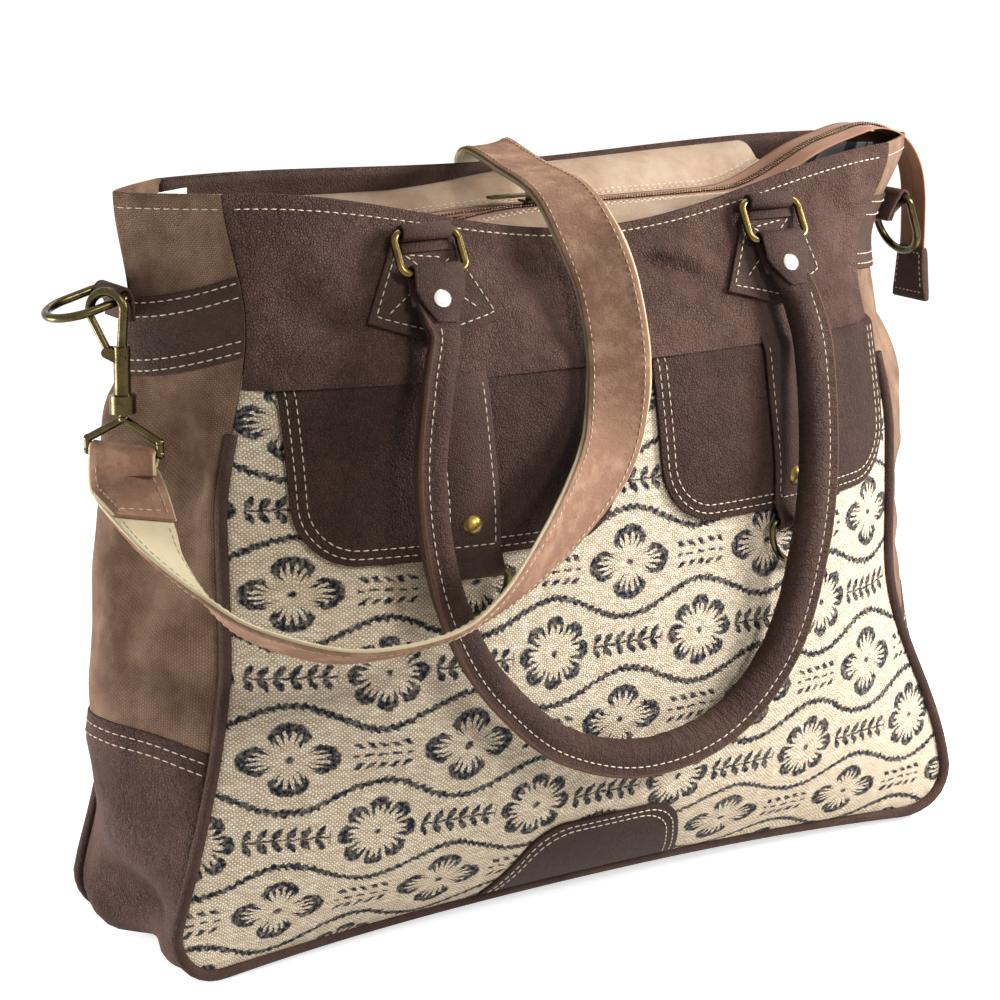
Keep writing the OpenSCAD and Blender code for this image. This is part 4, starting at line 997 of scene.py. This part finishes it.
flap_rows = [BAND_Z - FLAP_H + FLAP_R * (1 - cos(a)) for a in steps(0, pi / 2, 14)]
flap_rows += steps(BAND_Z - FLAP_H + FLAP_R, FLAP_TOP - FLAP_TOP_R, 16)[1:]
flap_rows += [FLAP_TOP - FLAP_TOP_R * (1 - sin(a)) for a in steps(0, pi / 2, 6)[1:]]
for side, word in ENDS:
    x0 = side * POCKET_X
    out = flap_out(side)
    flap = piece(word + "_pocket_flap_leather", on_face(
        flap_rows, lambda z: x0 - flap_half(z), lambda z: x0 + flap_half(z), 54, FRONT, out),
        flap_leather, stands_for=[word + "_pocket_flap"], thick=LEATHER, worn=0.0006)
    for inset in (0.0036, 0.0080):
        sew(bag_thread, face_route(flap_line(side, inset), out, FRONT))

    # Strap down the middle of the flap, folded round the bar of its ring
    bar, along = pocket_bar(side)
    near = along.cross(UP)

    def strap_lift(z):
        return out(x0, z) + LAY + LEATHER / 2

    path = [face_pt(x0, z, strap_lift(z), FRONT) for z in steps(FLAP_TOP, POCKET_BAR_Z + 0.010, 24)]
    r = POCKET_RING_R + FIT + LEATHER / 2
    path += [bar + r * (cos(a) * near + sin(a) * UP) for a in steps(0.35, -2.6, 14)]
    pocket_strap = piece(word + "_pocket_trim_leather", carried(
        path, [along] * len(path), lambda k: slab(POCKET_STRAP_W / 2, LEATHER)),
        [trim_leather], stands_for=[word + "_pocket_strap"])
    edge = POCKET_STRAP_W / 2 - 0.0034
    low = BAND_Z - FLAP_H + 0.006
    line = [(x0 - edge, z) for z in steps(BAND_Z - 0.001, low, 20)]
    line += [(x, low) for x in steps(x0 - edge, x0 + edge, 8)]
    line += [(x0 + edge, z) for z in steps(low, BAND_Z - 0.001, 20)]
    sew(bag_thread, face_route(line, lambda x, z: strap_lift(z) + LEATHER / 2, FRONT))

    def pouch_place(i, j):
        s, t = mix(-1, 1, i / 20), mix(-1, 1, j / 20)
        behind = WALL + LAY + 0.0026 * smooth(5 * (1 - abs(s))) * smooth(5 * (1 - abs(t)))
        x, z = x0 + s * POUCH_W / 2, BAND_Z - 0.004 - POUCH_H * (1 - t) / 2
        return face_pt(x, z, -behind, FRONT), (x, z)
    pouch = piece(word + "_pouch_cloth", laid(20, 20, pouch_place), striped_lining,
                  stands_for=[word + "_pocket_pouch"], thick=LINING_T)


# Handles

TAB_FOLD_R = RING_R + FIT + LEATHER
END_FOLD_R = TAB_FOLD_R + 0.0004
HANDLE_ROUTE = [Vector(p) for p in (
    (-0.115, -0.084, 0.328), (-0.125, -0.093, 0.304), (-0.134, -0.102, 0.262), (-0.130, -0.108, 0.215),
    (-0.114, -0.110, 0.174), (-0.092, -0.111, 0.145), (-0.058, -0.110, 0.117), (-0.008, -0.109, 0.101),
    (0.044, -0.110, 0.110), (0.082, -0.111, 0.146), (0.099, -0.112, 0.200), (0.104, -0.111, 0.250),
    (0.110, -0.097, 0.304), (0.112, -0.084, 0.328))]
HANDLE_MIDDLE = Vector((-0.012, 0, 0.235))


def tab_bar(side, face):
    return face_pt(side * TAB_X, TAB_BAR_Z, TAB_FOLD_R + 0.0013, face)


def end_bar(side, face):
    low = face_pt(TAB_X, TAB_BAR_Z - RING_H * 0.93, PATCH_OUT + END_FOLD_R + 0.003, face)
    lean = asin(min(0.6, (abs(low.y) - abs(tab_bar(RIGHT, face).y)) / RING_H))
    return tab_bar(side, face) + RING_H * Vector((0, face * sin(lean), -cos(lean)))


TAB_LOW, TAB_TIP, TAB_TOP_HALF = TAB_BAR_Z - 0.053, TAB_BAR_Z - 0.065, HANDLE_END_W / 2 + 0.0015


def tab_half(z):
    if z < TAB_LOW:
        return mix(0.003, TAB_W / 2, (z - TAB_TIP) / (TAB_LOW - TAB_TIP))
    return mix(TAB_W / 2, TAB_TOP_HALF, (z - TAB_LOW) / (TAB_BAR_Z - TAB_LOW))


def handle_tab(side, face, word):
    x0 = side * TAB_X
    zs = steps(TAB_TIP, TAB_LOW, 8)[:-1] + steps(TAB_LOW, TAB_BAR_Z - 0.005, 22)
    leaf = piece(word + "_tab_leather", on_face(
        zs, lambda z: x0 - tab_half(z), lambda z: x0 + tab_half(z), 26, face, PATCH_OUT + 0.0008),
        trim_leather, stands_for=[word + "_tab"], thick=LEATHER, worn=0.0006)
    band = "front_band" if face < 0 else "back_band"
    bar = tab_bar(side, face)
    out = Vector((0, face, 0))
    r = RING_R + FIT + LEATHER / 2
    path = [face_pt(x0, z, PATCH_OUT - LEATHER / 2, face)
            for z in steps(TAB_BAR_Z - 0.020, TAB_BAR_Z - 0.006, 3)]
    path += [bar + r * (cos(a) * out + sin(a) * UP) for a in steps(pi - 0.1, -2.3, 18)]
    path.append(face_pt(x0, TAB_BAR_Z - 0.013, PATCH_OUT + 0.0015, face))
    fold = piece(word + "_tab_fold", carried(
        path, [ALONG] * len(path), lambda k: slab(TAB_TOP_HALF, LEATHER)), trim_leather)
    inset, top = 0.0034, TAB_BAR_Z - 0.016

    def edge(k):
        return [(x0 + k * (tab_half(z) - inset), z) for z in steps(top, TAB_LOW + 0.003, 12)]

    tip = [(x0 + k, TAB_TIP + inset * 1.5 + abs(k) * 0.30)
           for k in steps(-TAB_W / 2 + 0.006, TAB_W / 2 - 0.006, 16)]
    lines = [edge(-1) + tip + edge(1)[::-1], [(x0 + k, top) for k in steps(-0.011, 0.011, 8)]]
    lines += [[(x0 + sign * mix(-0.013, 0.026, k), mix(top, TAB_LOW + 0.004, k)) for k in steps(0, 1, 14)]
              for sign in (1, -1)]
    for line in lines:
        sew(bag_thread, face_route(line, PATCH_OUT + 0.0008, face))


ROLL_PTS = 20
END_LEAF_HALF = 0.0142
FLANGE_TURN = radians(36)
# Places along a handle's end, from its bar, each with its step out of line: the roll lies back from the
# leaf's front, the leaf's back and front stand out from the bar
END_LEAD = ((0.005, 0.0034), (0.014, 0.0016), (0.026, 0.0004))
END_OVER = ((0.018, -0.0022), (0.009, -0.0030))
END_UNDER = (
    (0.006, 0.0031), (0.011, 0.0028), (0.016, 0.0029), (0.020, 0.0034), (0.024, 0.0042), (0.028, 0.0052))
# Half section of a rivet cap, from its middle out
RIVET_PROFILE = (
    (0.0, 0.0019), (0.0022, 0.0017), (0.0040, 0.0011), (0.0050, 0.0003), (0.0051, -0.0004), (0.0046, -0.0010))


def roll_section(r, crease, spread, turn):
    """Rolled leather with its sewn flange; spread is 1 where the roll lies open and flat."""
    ring = []
    for k in range(ROLL_PTS):
        a = radians(16) + radians(328) * k / (ROLL_PTS - 1)
        fold = mix(1, crease, (1 - cos(a)) / 2)
        ring.append((r * fold * cos(a), r * fold * sin(a)))
    ring += [(r + 0.0038, -0.0013), (r + 0.0044, -0.0008), (r + 0.0044, 0.0008), (r + 0.0038, 0.0013)]
    ring = [(a * cos(turn) - b * sin(turn), a * sin(turn) + b * cos(turn)) for a, b in ring]
    out = []
    for a, b in ring:
        angle = atan2(b, a)
        c, s = cos(angle), sin(angle)
        flat = (0.0130 * abs(c) ** 0.5 * (1 if c > 0 else -1), 0.0013 * abs(s) ** 0.5 * (1 if s > 0 else -1))
        out.append((mix(a, flat[0], spread), mix(b, flat[1], spread)))
    return out


def rolled_handle(face, word):
    bars = [end_bar(side, face) for side in (LEFT, RIGHT)]
    roll = [Vector((p.x, -face * p.y, p.z)) for p in HANDLE_ROUTE]
    ends = []
    for bar, start in ((bars[0], roll[0]), (bars[1], roll[-1])):
        down = (start - bar).normalized()
        ends.append((bar, down, squared(face * DEEP, down)))
    leads = [[bar + down * d - out * b for d, b in END_LEAD] for bar, down, out in ends]
    path = curve(leads[0] + roll + leads[1][::-1], 24)
    run, ways = lengths(path), headings(path)
    across = [Vector((p.x - HANDLE_MIDDLE.x, 0, p.z - HANDLE_MIDDLE.z)) for p in path]
    for k, p in enumerate(path):
        far = smooth((p.z - 0.20) / 0.09)
        across[k] = mix(across[k].normalized(), ALONG if p.x > 0 else -ALONG, far)
    turn = face * FLANGE_TURN

    def section(k):
        d = min(run[k], run[-1] - run[k])
        spread = 1 - smooth((d - 0.006) / 0.030)
        bend = smooth((0.20 - path[k].z) / 0.05)
        fine = (noise.noise(Vector((run[k] * 170, face, 1.7)))
                + 0.5 * noise.noise(Vector((run[k] * 330, face, 4.1))))
        crease = 1 + mix(0.014, 0.060, bend) * fine + 0.02 * ripple(run[k], 0, 0.03, face)
        return roll_section(HANDLE_D / 2 * mix(1, 0.92, smooth(1 - d / 0.07)), crease, spread, turn)

    bm = carried(path, across, section, lambda i: 1 if ROLL_PTS <= i < ROLL_PTS + 3 else 0)
    thread = bmesh.new()
    route = []
    for k in range(len(path)):
        d = min(run[k], run[-1] - run[k])
        if d > 0.026:
            side = squared(across[k], ways[k])
            up = ways[k].cross(side)
            a = turn + face * radians(19)
            out = side * cos(a) + up * sin(a)
            route.append((path[k] + out * (HANDLE_D / 2 * mix(1, 0.93, smooth(1 - d / 0.07))), out))
    sew(thread, route)
    handle = piece(word + "_handle_roll", bm, [roll_leather, raw_edge], word + "_handle",
                   stands_for=[word + "_handle"])
    piece(word + "_handle_thread", thread, cream_thread, word + "_handle")

    for (bar, down, out), name in zip(ends, ("left", "right")):
        r = RING_R + FIT + LEATHER / 2
        path = [bar + down * d + out * b for d, b in END_OVER]
        path += [bar + r * (cos(a) * out - sin(a) * down) for a in steps(pi, 0, 12)]
        path += [bar + down * d + out * b for d, b in END_UNDER]
        last = len(path) - 1
        halves = {last: 0.0052, last - 1: 0.0074, last - 2: 0.0096, last - 3: 0.0120}
        leaf = piece(word + "_" + name + "_handle_end", carried(
            path, [ALONG] * len(path), lambda k: slab(halves.get(k, END_LEAF_HALF), LEATHER)),
            trim_leather, word + "_handle")
        # Domed rivet cap
        middle = bar + down * 0.0150 + out * 0.0038
        cap = bmesh.new()
        verts = [cap.verts.new((x, 0, z)) for x, z in RIVET_PROFILE]
        edges = [cap.edges.new(pair) for pair in zip(verts, verts[1:])]
        bmesh.ops.spin(
            cap, geom=verts + edges, cent=(0, 0, 0), axis=UP, angle=2 * pi, steps=32, use_merge=True)
        bmesh.ops.remove_doubles(cap, verts=cap.verts, dist=1e-6)
        closed(cap)
        place = Matrix((ALONG, out.cross(ALONG), out)).transposed().to_4x4()
        cap.transform(Matrix.Translation(middle) @ place)
        piece(word + "_" + name + "_rivet_cap", cap, nickel, word + "_handle",
              stands_for=[word + "_" + name + "_rivet"])


for face, word in FACES:
    for side, name in ENDS:
        handle_tab(side, face, word + "_" + name)
    rolled_handle(face, word)


# D-ring tabs on the gusset straps

for side, word in ENDS:
    bar_z = strap_mid(side) + GUSSET_STRAP_W / 2 - 0.006
    bar = gusset_pt(0, bar_z, STRAP_OUT + FIT + D_RING_R + 0.0008, side)
    half = D_RING_W / 2 - D_RING_R - 0.0012
    out = Vector((side, 0, 0))
    r = D_RING_R + FIT + LEATHER / 2
    path = [gusset_pt(0, z, STRAP_OUT - LEATHER / 2, side) for z in steps(bar_z - 0.013, bar_z - 0.002, 5)]
    path += [bar + r * (cos(a) * out + sin(a) * UP) for a in steps(pi - 0.1, -1.9, 16)]
    path += [gusset_pt(0, z, STRAP_OUT + LEATHER / 2 + 0.0003, side)
             for z in steps(bar_z - 0.008, bar_z - 0.013, 2)]
    tab = piece(word + "_d_ring_fold", carried(path, [DEEP] * len(path), lambda k: slab(half, LEATHER)),
                trim_leather, stands_for=[word + "_d_ring_tab"])
    word + "_gusset_trim_leather"


# Shoulder strap: suede backed with canvas, cut into lengths

EYE_LEFT, EYE_RIGHT = Vector((-0.262799, -0.022425, 0.278894)), Vector((0.210894, 0.079344, 0.360576))
EYE_LEFT_ACROSS, EYE_RIGHT_WAY = Vector((0.669131, -0.743145, 0)), Vector((0.601815, -0.798636, 0))
STRAP_ROUTE = [
    (EYE_LEFT - 0.0039 * UP, EYE_LEFT_ACROSS), (EYE_LEFT - 0.014 * UP, Vector((0.74, -0.67, 0)))] + [
    (Vector(p) / 1000, Vector(w)) for p, w in (
        ((-264, -33, 257), (0.92, -0.38, -0.03)), ((-267, -50, 249), (0.96, 0.14, -0.14)),
        ((-267, -70, 238), (0.84, 0.46, -0.28)), ((-254, -93, 217), (0.55, 0.72, -0.42)),
        ((-236, -109, 202), (0.38, 0.82, -0.42)), ((-198, -127, 190), (0.15, 0.91, -0.39)),
        ((-152, -137, 193), (0.1, 0.91, -0.4)), ((-120, -137, 204), (0.25, 0.8, -0.54)),
        ((-85, -130, 225), (0.5, 0.5, -0.7)), ((-54, -120, 248), (0.68, 0.15, -0.7)),
        ((-32, -110, 268), (0.8, -0.2, -0.55)), ((-20, -101, 290), (0.83, -0.45, -0.33)),
        ((-15, -94, 318), (0.83, -0.53, -0.15)), ((-15, -82, 352), (0.84, -0.53, -0.05)),
        ((-22, -72, 378), (0.88, -0.45, 0)), ((-23, -50, 396), (0.96, -0.25, 0.05)),
        ((-17, -5, 403), (1, 0, 0)), ((-10, 36, 408), (1, 0.02, 0.03)),
        ((2, 63, 400), (0.95, 0, 0.3)), ((24, 82, 380), (0.75, 0, 0.65)),
        ((58, 98, 364), (0.4, 0, 0.92)), ((100, 106, 355), (0.15, 0, 0.99)),
        ((145, 108, 352), (0.05, 0, 1)), ((178, 104, 356), (0, 0, 1)))] + [
    (EYE_RIGHT - d * EYE_RIGHT_WAY, UP) for d in (0.014, 0.0036)]

STRAP_STEPS = 8
strap_path = curve([p for p, _ in STRAP_ROUTE], STRAP_STEPS)
strap_across = curve([w for _, w in STRAP_ROUTE], STRAP_STEPS)
strap_ways = headings(strap_path)
strap_run = lengths(strap_path)
STRAP_COLS = 8
SUEDE_SIDE = STRAP_COLS + 4


def strap_section(half, thick, wavy=0.0):
    """Two layers: suede below, and canvas above that shows a little at the edges."""
    h, c = thick / 2, 0.0005
    suede = [(a, -h) for a in steps(-half + c, half - c, STRAP_COLS)]
    canvas = [(a, h) for a in steps(half - 0.0004, -half + 0.0004, STRAP_COLS)]
    rim = half + 0.0010 + wavy
    return ([(-half + 0.0002, -0.1 * h), (-half, -h + c)] + suede
            + [(half, -h + c), (half - 0.0002, -0.1 * h)]
            + [(rim, 0.1 * h), (rim - 0.0001, h - c)] + canvas + [(0.0001 - rim, h - c), (-rim, 0.1 * h)])


def strap_frame(k):
    side = squared(strap_across[k], strap_ways[k])
    return strap_path[k], side, strap_ways[k].cross(side)


def strap_finish(i):
    return 0 if i < SUEDE_SIDE else 1


def strap_length(name, first, last, bodies, stands_for=()):
    ks = range(first, last + 1)

    def section(j):
        wavy = 0.0005 * noise.noise(Vector((strap_run[first + j] * 70, 0.3, 2.2)))
        return strap_section(STRAP_W / 2, STRAP_T, wavy)

    bm = carried([strap_path[k] for k in ks], [strap_across[k] for k in ks], section,
                 strap_finish, [strap_ways[k] for k in ks])
    for face in bm.faces:
        if len(face.verts) > 4:
            face.material_index = 0
    thread = bmesh.new()
    for edge in (-1, 1):
        for out in (-1, 1):
            route = []
            for k in ks:
                p, side, up = strap_frame(k)
                route.append((p + side * edge * (STRAP_W / 2 - 0.0028) + up * out * (STRAP_T / 2), up * out))
            sew(thread, route, 0.0034, 0.0009, 0.00042)
    for face in thread.faces:
        face.material_index = 2
    shape = bpy.data.meshes.new("strap_thread")
    thread.to_mesh(shape)
    thread.free()
    bm.from_mesh(shape)
    bpy.data.meshes.remove(shape)
    strap = piece(name, bm, [strap_suede, strap_canvas, dull_thread],
                  bodies[0] if len(bodies) == 1 else None, stands_for=stands_for)
    if len(bodies) == 2:
        tuple(strap_path[first])
        tuple(strap_path[last])
        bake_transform(strap)


last_k = len(strap_path) - 1
LEAF_L, LEAF_EDGE = 0.044, STRAP_W / 2 - 0.003
left_leaf = [k for k in range(last_k) if strap_run[k] < LEAF_L]
right_leaf = [k for k in range(last_k, 0, -1) if strap_run[last_k] - strap_run[k] < LEAF_L]
cuts = [0, max(3 * STRAP_STEPS, left_leaf[-1] + 1)] + [n * STRAP_STEPS for n in (5, 8, 22, 24)]
cuts += [min(25 * STRAP_STEPS + 4, right_leaf[-1] - 1), last_k]
chains = [("left_swivel_eye", "left_hook"), ("left_hook", "left_d_ring"), ("left_d_ring", "bag"), ("bag",),
          ("bag", "right_d_ring"), ("right_d_ring", "right_hook"), ("right_hook", "right_swivel_eye")]
for n, bodies in enumerate(chains):
    strap_length("shoulder_strap_%d" % (n + 1), cuts[n], cuts[n + 1], bodies,
                 ["shoulder_strap"] if len(bodies) == 1 else ())

# Ends of the strap, folded round the bars of the swivel eyes and sewn down
EYE_R = 0.002
for word, bar, ks, chain, first, last in (("left", EYE_LEFT, left_leaf, chains[0], cuts[0], cuts[1]),
                                          ("right", EYE_RIGHT, right_leaf, chains[-1], cuts[-2], cuts[-1])):
    end = ks[0]
    _, side, up = strap_frame(end)
    turn = 1 if end == 0 else -1
    way = strap_ways[end] * turn
    leaf = []
    for k in reversed(ks):
        q, _, over = strap_frame(k)
        leaf.append(q + over * 0.0036)
    r = EYE_R + 0.0014
    angles = steps(0.1, pi - 0.2, 12)
    arc = [bar + r * (cos(a) * up - sin(a) * way) for a in angles]
    leaf_ways = ([strap_ways[k] * -turn for k in reversed(ks)]
                 + [-sin(a) * up - cos(a) * way for a in angles] + [way, way])
    path = leaf + arc + [bar - up * 0.0022 + way * 0.0030, bar - up * 0.0004 + way * 0.0055]
    across = [strap_across[k] for k in reversed(ks)] + [side] * (len(arc) + 2)
    bm = carried(path, across, lambda k: strap_section(STRAP_W / 2 + 0.0006, 0.0019), strap_finish, leaf_ways)
    loop = piece(word + "_strap_end", bm, [strap_suede, strap_canvas], None)
    word + "_swivel_eye"
    thread = bmesh.new()
    spots = [strap_frame(k) for k in ks]
    for edge in (-1, 1):
        sew(thread, [(q + over * 0.0046 + beside * edge * LEAF_EDGE, over)
                     for q, beside, over in spots[3:-1]])
    q, beside, over = spots[-3]
    sew(thread, [(q + over * 0.0046 + beside * d, over) for d in steps(-LEAF_EDGE, LEAF_EDGE, 8)])
    seam = piece(word + "_strap_end_thread", thread, dull_thread, None)
    for part in (loop, seam):
        tuple(strap_path[first])
        tuple(strap_path[last])
        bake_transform(part)


# Zip

ZIP_LEFT, ZIP_ROWS = -0.150, 18
ZIP_XS = steps(ZIP_LEFT, 0.120, 36) + [0.130, 0.140, 0.150, 0.160]


def zip_rise(x):
    return 0.027 * smooth((x - 0.120) / 0.085)


def parting(x):
    return smooth((SLIDER_X - SLIDER_L / 2 - x) / 0.120)


TAIL_X, TAIL_LOW = RIM_W / 2 + GUSSET_FULL + 0.010, BAG_H - 0.072
zip_line = [Vector((x, 0, ZIP_Z + zip_rise(x))) for x in steps(ZIP_LEFT, 0.160, 31)]
tail_line = [Vector((x, 0, z)) for x, z in (
    (0.160, ZIP_Z + zip_rise(0.160)), (0.180, ZIP_Z + zip_rise(0.180)),
    (0.200, BAG_H + 0.002), (0.220, BAG_H + 0.006),
    (0.238, BAG_H + 0.003), (0.251, BAG_H - 0.005), (0.260, BAG_H - 0.018), (TAIL_X - 0.001, BAG_H - 0.034),
    (TAIL_X, TAIL_LOW + 0.018), (TAIL_X, TAIL_LOW))]
zip_path = zip_line[:-1] + curve(tail_line, 5)
zip_ways = headings(zip_path)
zip_run = lengths(zip_path)


def zip_pt(k, y, up):
    way, p = zip_ways[k], parting(zip_path[k].x)
    over = Vector((-way.z, 0, way.x))
    y *= mix(1, 0.62, smooth((zip_path[k].x - 0.205) / 0.055))
    return zip_path[k] + over * up + Vector((0, y + (-1 if y < 0 else 1) * 0.020 * p, -0.009 * p))


for face, word in FACES:
    edges = (-TAPE_W, -0.0001) if face < 0 else (0.0001, TAPE_W)
    ys = steps(*edges, 6)
    tape = piece(word + "_zip_tape_cloth", laid(
        len(zip_path) - 1, len(ys) - 1, lambda i, j: (zip_pt(i, ys[j], 0), (ys[j], zip_run[i]))),
        zip_tape, stands_for=[word + "_zip_tape"], thick=TAPE_T)
    word + "_zip_panel_cloth"

TOOTH_PITCH = 0.0018
for face, word in FACES:
    teeth = bmesh.new()
    at, k = TOOTH_PITCH * (0.5 if face < 0 else 1.0), 0
    while at < zip_run[-1] - 0.002:
        while zip_run[k + 1] < at:
            k += 1
        t = (at - zip_run[k]) / (zip_run[k + 1] - zip_run[k])
        y = face * (0.0006 + COIL_W / 2)
        low, high = (mix(zip_pt(k, y, h), zip_pt(k + 1, y, h), t) for h in (FIT / 2, FIT / 2 + COIL_W * 0.8))
        set_down(teeth, bead, zip_ways[k] * TOOTH_PITCH * 0.40, DEEP * COIL_W * 0.62, (high - low) * 0.55,
                 (low + high) / 2)
        at += TOOTH_PITCH
    piece(word + "_zip_teeth", teeth, zip_teeth, stands_for=[word + "_zip_coil"])


def zip_panel_pt(x, v, face):
    """Point of the cloth beside the zip; v runs from the rim, 0, to the lap over the tape, 1."""
    p = parting(x)
    drop = mix(0.016, 0.004, smooth((x + 0.08) / 0.12))
    rim = face_pt(x, BAG_H - drop, -WALL - 0.0022 - LINING_T, face)
    z = ZIP_Z + FIT / 2 + zip_rise(x) - 0.009 * p + ZIP_PANEL_T
    shoulder = Vector((x, face * (TAPE_W + 0.001 + 0.020 * p), z))
    lip = Vector((x, face * (TAPE_W - 0.0015 + 0.020 * p), z))
    if v > 0.85:
        return mix(shoulder, lip, (v - 0.85) / 0.15)
    t = v / 0.85
    soft = 0.0016 * ripple(x, t * 0.05, 0.030, 8.8 + face) * sin(pi * t)
    hump = 0.004 if face == BACK else -0.0015
    return mix(rim, shoulder, t) + UP * (hump * sin(pi * t) + ZIP_PANEL_T * (1 - t) + soft)


for face, word in FACES:
    def panel_place(i, j):
        v = j / ZIP_ROWS if face < 0 else 1 - j / ZIP_ROWS
        return zip_panel_pt(ZIP_XS[i], v, face), (ZIP_XS[i], v * 0.05)
    panel = piece(word + "_zip_panel_cloth", laid(len(ZIP_XS) - 1, ZIP_ROWS, panel_place),
                  tan_cloth, stands_for=[word + "_zip_panel"], thick=ZIP_PANEL_T, worn=0.0003)
    word + "_band_leather"
    for v in (0.90, 0.80):
        sew(bag_thread, [(zip_panel_pt(x, v, face), UP) for x in steps(ZIP_LEFT + 0.002, 0.158, 120)],
            0.0026, 0.0014, FINE_THREAD_R)

# Leather end on the tail of the zip
tail_rows = [Vector((TAIL_X, 0, TAIL_LOW + 0.004 - d))
             for d in (0, 0.003, 0.008, 0.014, 0.020, 0.026, 0.030, 0.031)]
tail_half = [0.0106, 0.0112, 0.0116, 0.0122, 0.0130, 0.0140, 0.0146, 0.0140]
tail_thick = [0.0040, 0.0050, 0.0054, 0.0054, 0.0052, 0.0048, 0.0040, 0.0026]
bm = carried(tail_rows, [DEEP] * len(tail_rows), lambda k: slab(tail_half[k], tail_thick[k]))
piece("zip_tail_leather", bm, trim_leather, stands_for=["zip_end_tab"])
TAIL_INSET = 0.0022
for side in (LEFT, RIGHT):
    lines = [[(tail_thick[3], sign * (tail_half[k] - TAIL_INSET), tail_rows[k].z) for k in range(1, 6)]
             for sign in (-1, 1)]
    lines += [[(tail_thick[k], y, tail_rows[k].z)
               for y in steps(TAIL_INSET - tail_half[k], tail_half[k] - TAIL_INSET, 8)] for k in (1, 5)]
    for line in lines:
        sew(bag_thread, [(Vector((TAIL_X + side * thick / 2, y, z)), side * ALONG) for thick, y, z in line],
            0.0024, 0.0010, FINE_THREAD_R)

piece("bag_stitching", bag_thread, cream_thread)

# Metal pieces of the frame
METAL_WORDS = ("_ring", "_hook", "swivel_eye", "zip_slider", "zip_pull", "_stud")
for name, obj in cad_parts.items():
    if any(word in name for word in METAL_WORDS) and "tab" not in name:
        on_handle = name.endswith(("left_ring", "right_ring"))
        obj.data.materials.clear()
        brass = stud_brass if "stud" in name else ring_brass if on_handle else antique_brass
        obj.data.materials.append(brass.material)


# Camera at the photograph's angle, floor and soft light

IMAGE_PX = 1000
CAMERA_AT = Vector((-0.8793, -1.3015, 0.6029))
YAW, PITCH, ROLL, FOCAL_PX = radians(-33.26), radians(13.84), radians(0.45), 2922.0
SENSOR_MM = 36.0

camera_data = bpy.data.cameras.new("camera")
camera_data.sensor_width = SENSOR_MM
camera_data.lens = SENSOR_MM * FOCAL_PX / IMAGE_PX
camera = bpy.data.objects.new("camera", camera_data)
back = Vector((sin(YAW) * cos(PITCH), -cos(YAW) * cos(PITCH), sin(PITCH)))
level = Vector((cos(YAW), sin(YAW), 0))
above = back.cross(level)
right = cos(ROLL) * level + sin(ROLL) * above
turned = Matrix((right, back.cross(right), back)).transposed().to_4x4()
camera.matrix_world = Matrix.Translation(CAMERA_AT) @ turned
bpy.context.collection.objects.link(camera)
bpy.context.scene.camera = camera


def lamp(name, kind, at, aim, power, size):
    data = bpy.data.lights.new(name, kind)
    data.energy = power
    if kind == "SUN":
        data.angle = size
    else:
        data.shape, data.size = "SQUARE", size
    made = bpy.data.objects.new(name, data)
    turn = (Vector(at) - Vector(aim)).to_track_quat("Z", "Y")
    made.matrix_world = Matrix.Translation(at) @ turn.to_matrix().to_4x4()
    bpy.context.collection.objects.link(made)


MIDDLE = (0, 0, 0.2)
lamp("key_light", "AREA", (0.62, -0.46, 0.62), (0.02, -0.08, 0.20), 12.5, 0.26)
lamp("far_light", "SUN", (0.35, -1.80, 1.45), MIDDLE, 1.6, radians(14))
lamp("side_light", "AREA", (-0.74, 0.30, 0.12), (-0.2, 0, 0.12), 6.2, 0.3)
lamp("top_light", "AREA", (0.25, 0.40, 1.30), (0.05, 0, 0.38), 5.0, 0.6)

FLOOR_SIZE = 60.0
bm = bmesh.new()
bmesh.ops.create_grid(bm, x_segments=2, y_segments=2, size=FLOOR_SIZE / 2)
floor_mesh = bpy.data.meshes.new("floor")
bm.to_mesh(floor_mesh)
bm.free()
floor = bpy.data.objects.new("floor", floor_mesh)
bpy.context.collection.objects.link(floor)


def seen_ray(tree):
    """1 for rays that come from the camera, from metal or from glass."""
    start = Field(tree)
    rays = [start.node("ShaderNodeLightPath", out=k)
            for k in ("Is Camera Ray", "Is Glossy Ray", "Is Transmission Ray")]
    return rays[0].most(rays[1]).most(rays[2])


def show(tree, plain, shown, output):
    """The second shader for the rays that are seen, the first for all others."""
    pick = tree.nodes.new("ShaderNodeMixShader")
    for k, socket in enumerate((seen_ray(tree).socket, plain.outputs[0], shown.outputs[0])):
        tree.links.new(socket, pick.inputs[k])
    tree.links.new(pick.outputs[0], tree.nodes[output].inputs["Surface"])


# The floor keeps the bag's shadow and glows a little for the camera, so that it reads as white
floor_material = bpy.data.materials.new("pale_floor")
floor_material.use_nodes = True
tree = floor_material.node_tree
shade = tree.nodes["Principled BSDF"]
shade.inputs["Base Color"].default_value = (0.80, 0.80, 0.80, 1)
shade.inputs["Roughness"].default_value = 0.95
shade.inputs["Specular IOR Level"].default_value = 0.0
glow = tree.nodes.new("ShaderNodeEmission")
glow.inputs["Color"].default_value = (1, 1, 1, 1)
glow.inputs["Strength"].default_value = 0.70
both = tree.nodes.new("ShaderNodeAddShader")
tree.links.new(shade.outputs[0], both.inputs[0])
tree.links.new(glow.outputs[0], both.inputs[1])
show(tree, shade, both, "Material Output")
floor_mesh.materials.append(floor_material)

# White behind everything; the light it gives is weaker
world = bpy.data.worlds.new("studio")
bpy.context.scene.world = world
world.use_nodes = True
tree = world.node_tree
dim = tree.nodes["Background"]
dim.inputs["Color"].default_value = (1, 1, 1, 1)
dim.inputs["Strength"].default_value = 0.17
white = tree.nodes.new("ShaderNodeBackground")
white.inputs["Color"].default_value = (1, 1, 1, 1)
white.inputs["Strength"].default_value = 1.0
show(tree, dim, white, "World Output")

bpy.context.scene.view_settings.view_transform = "Standard"
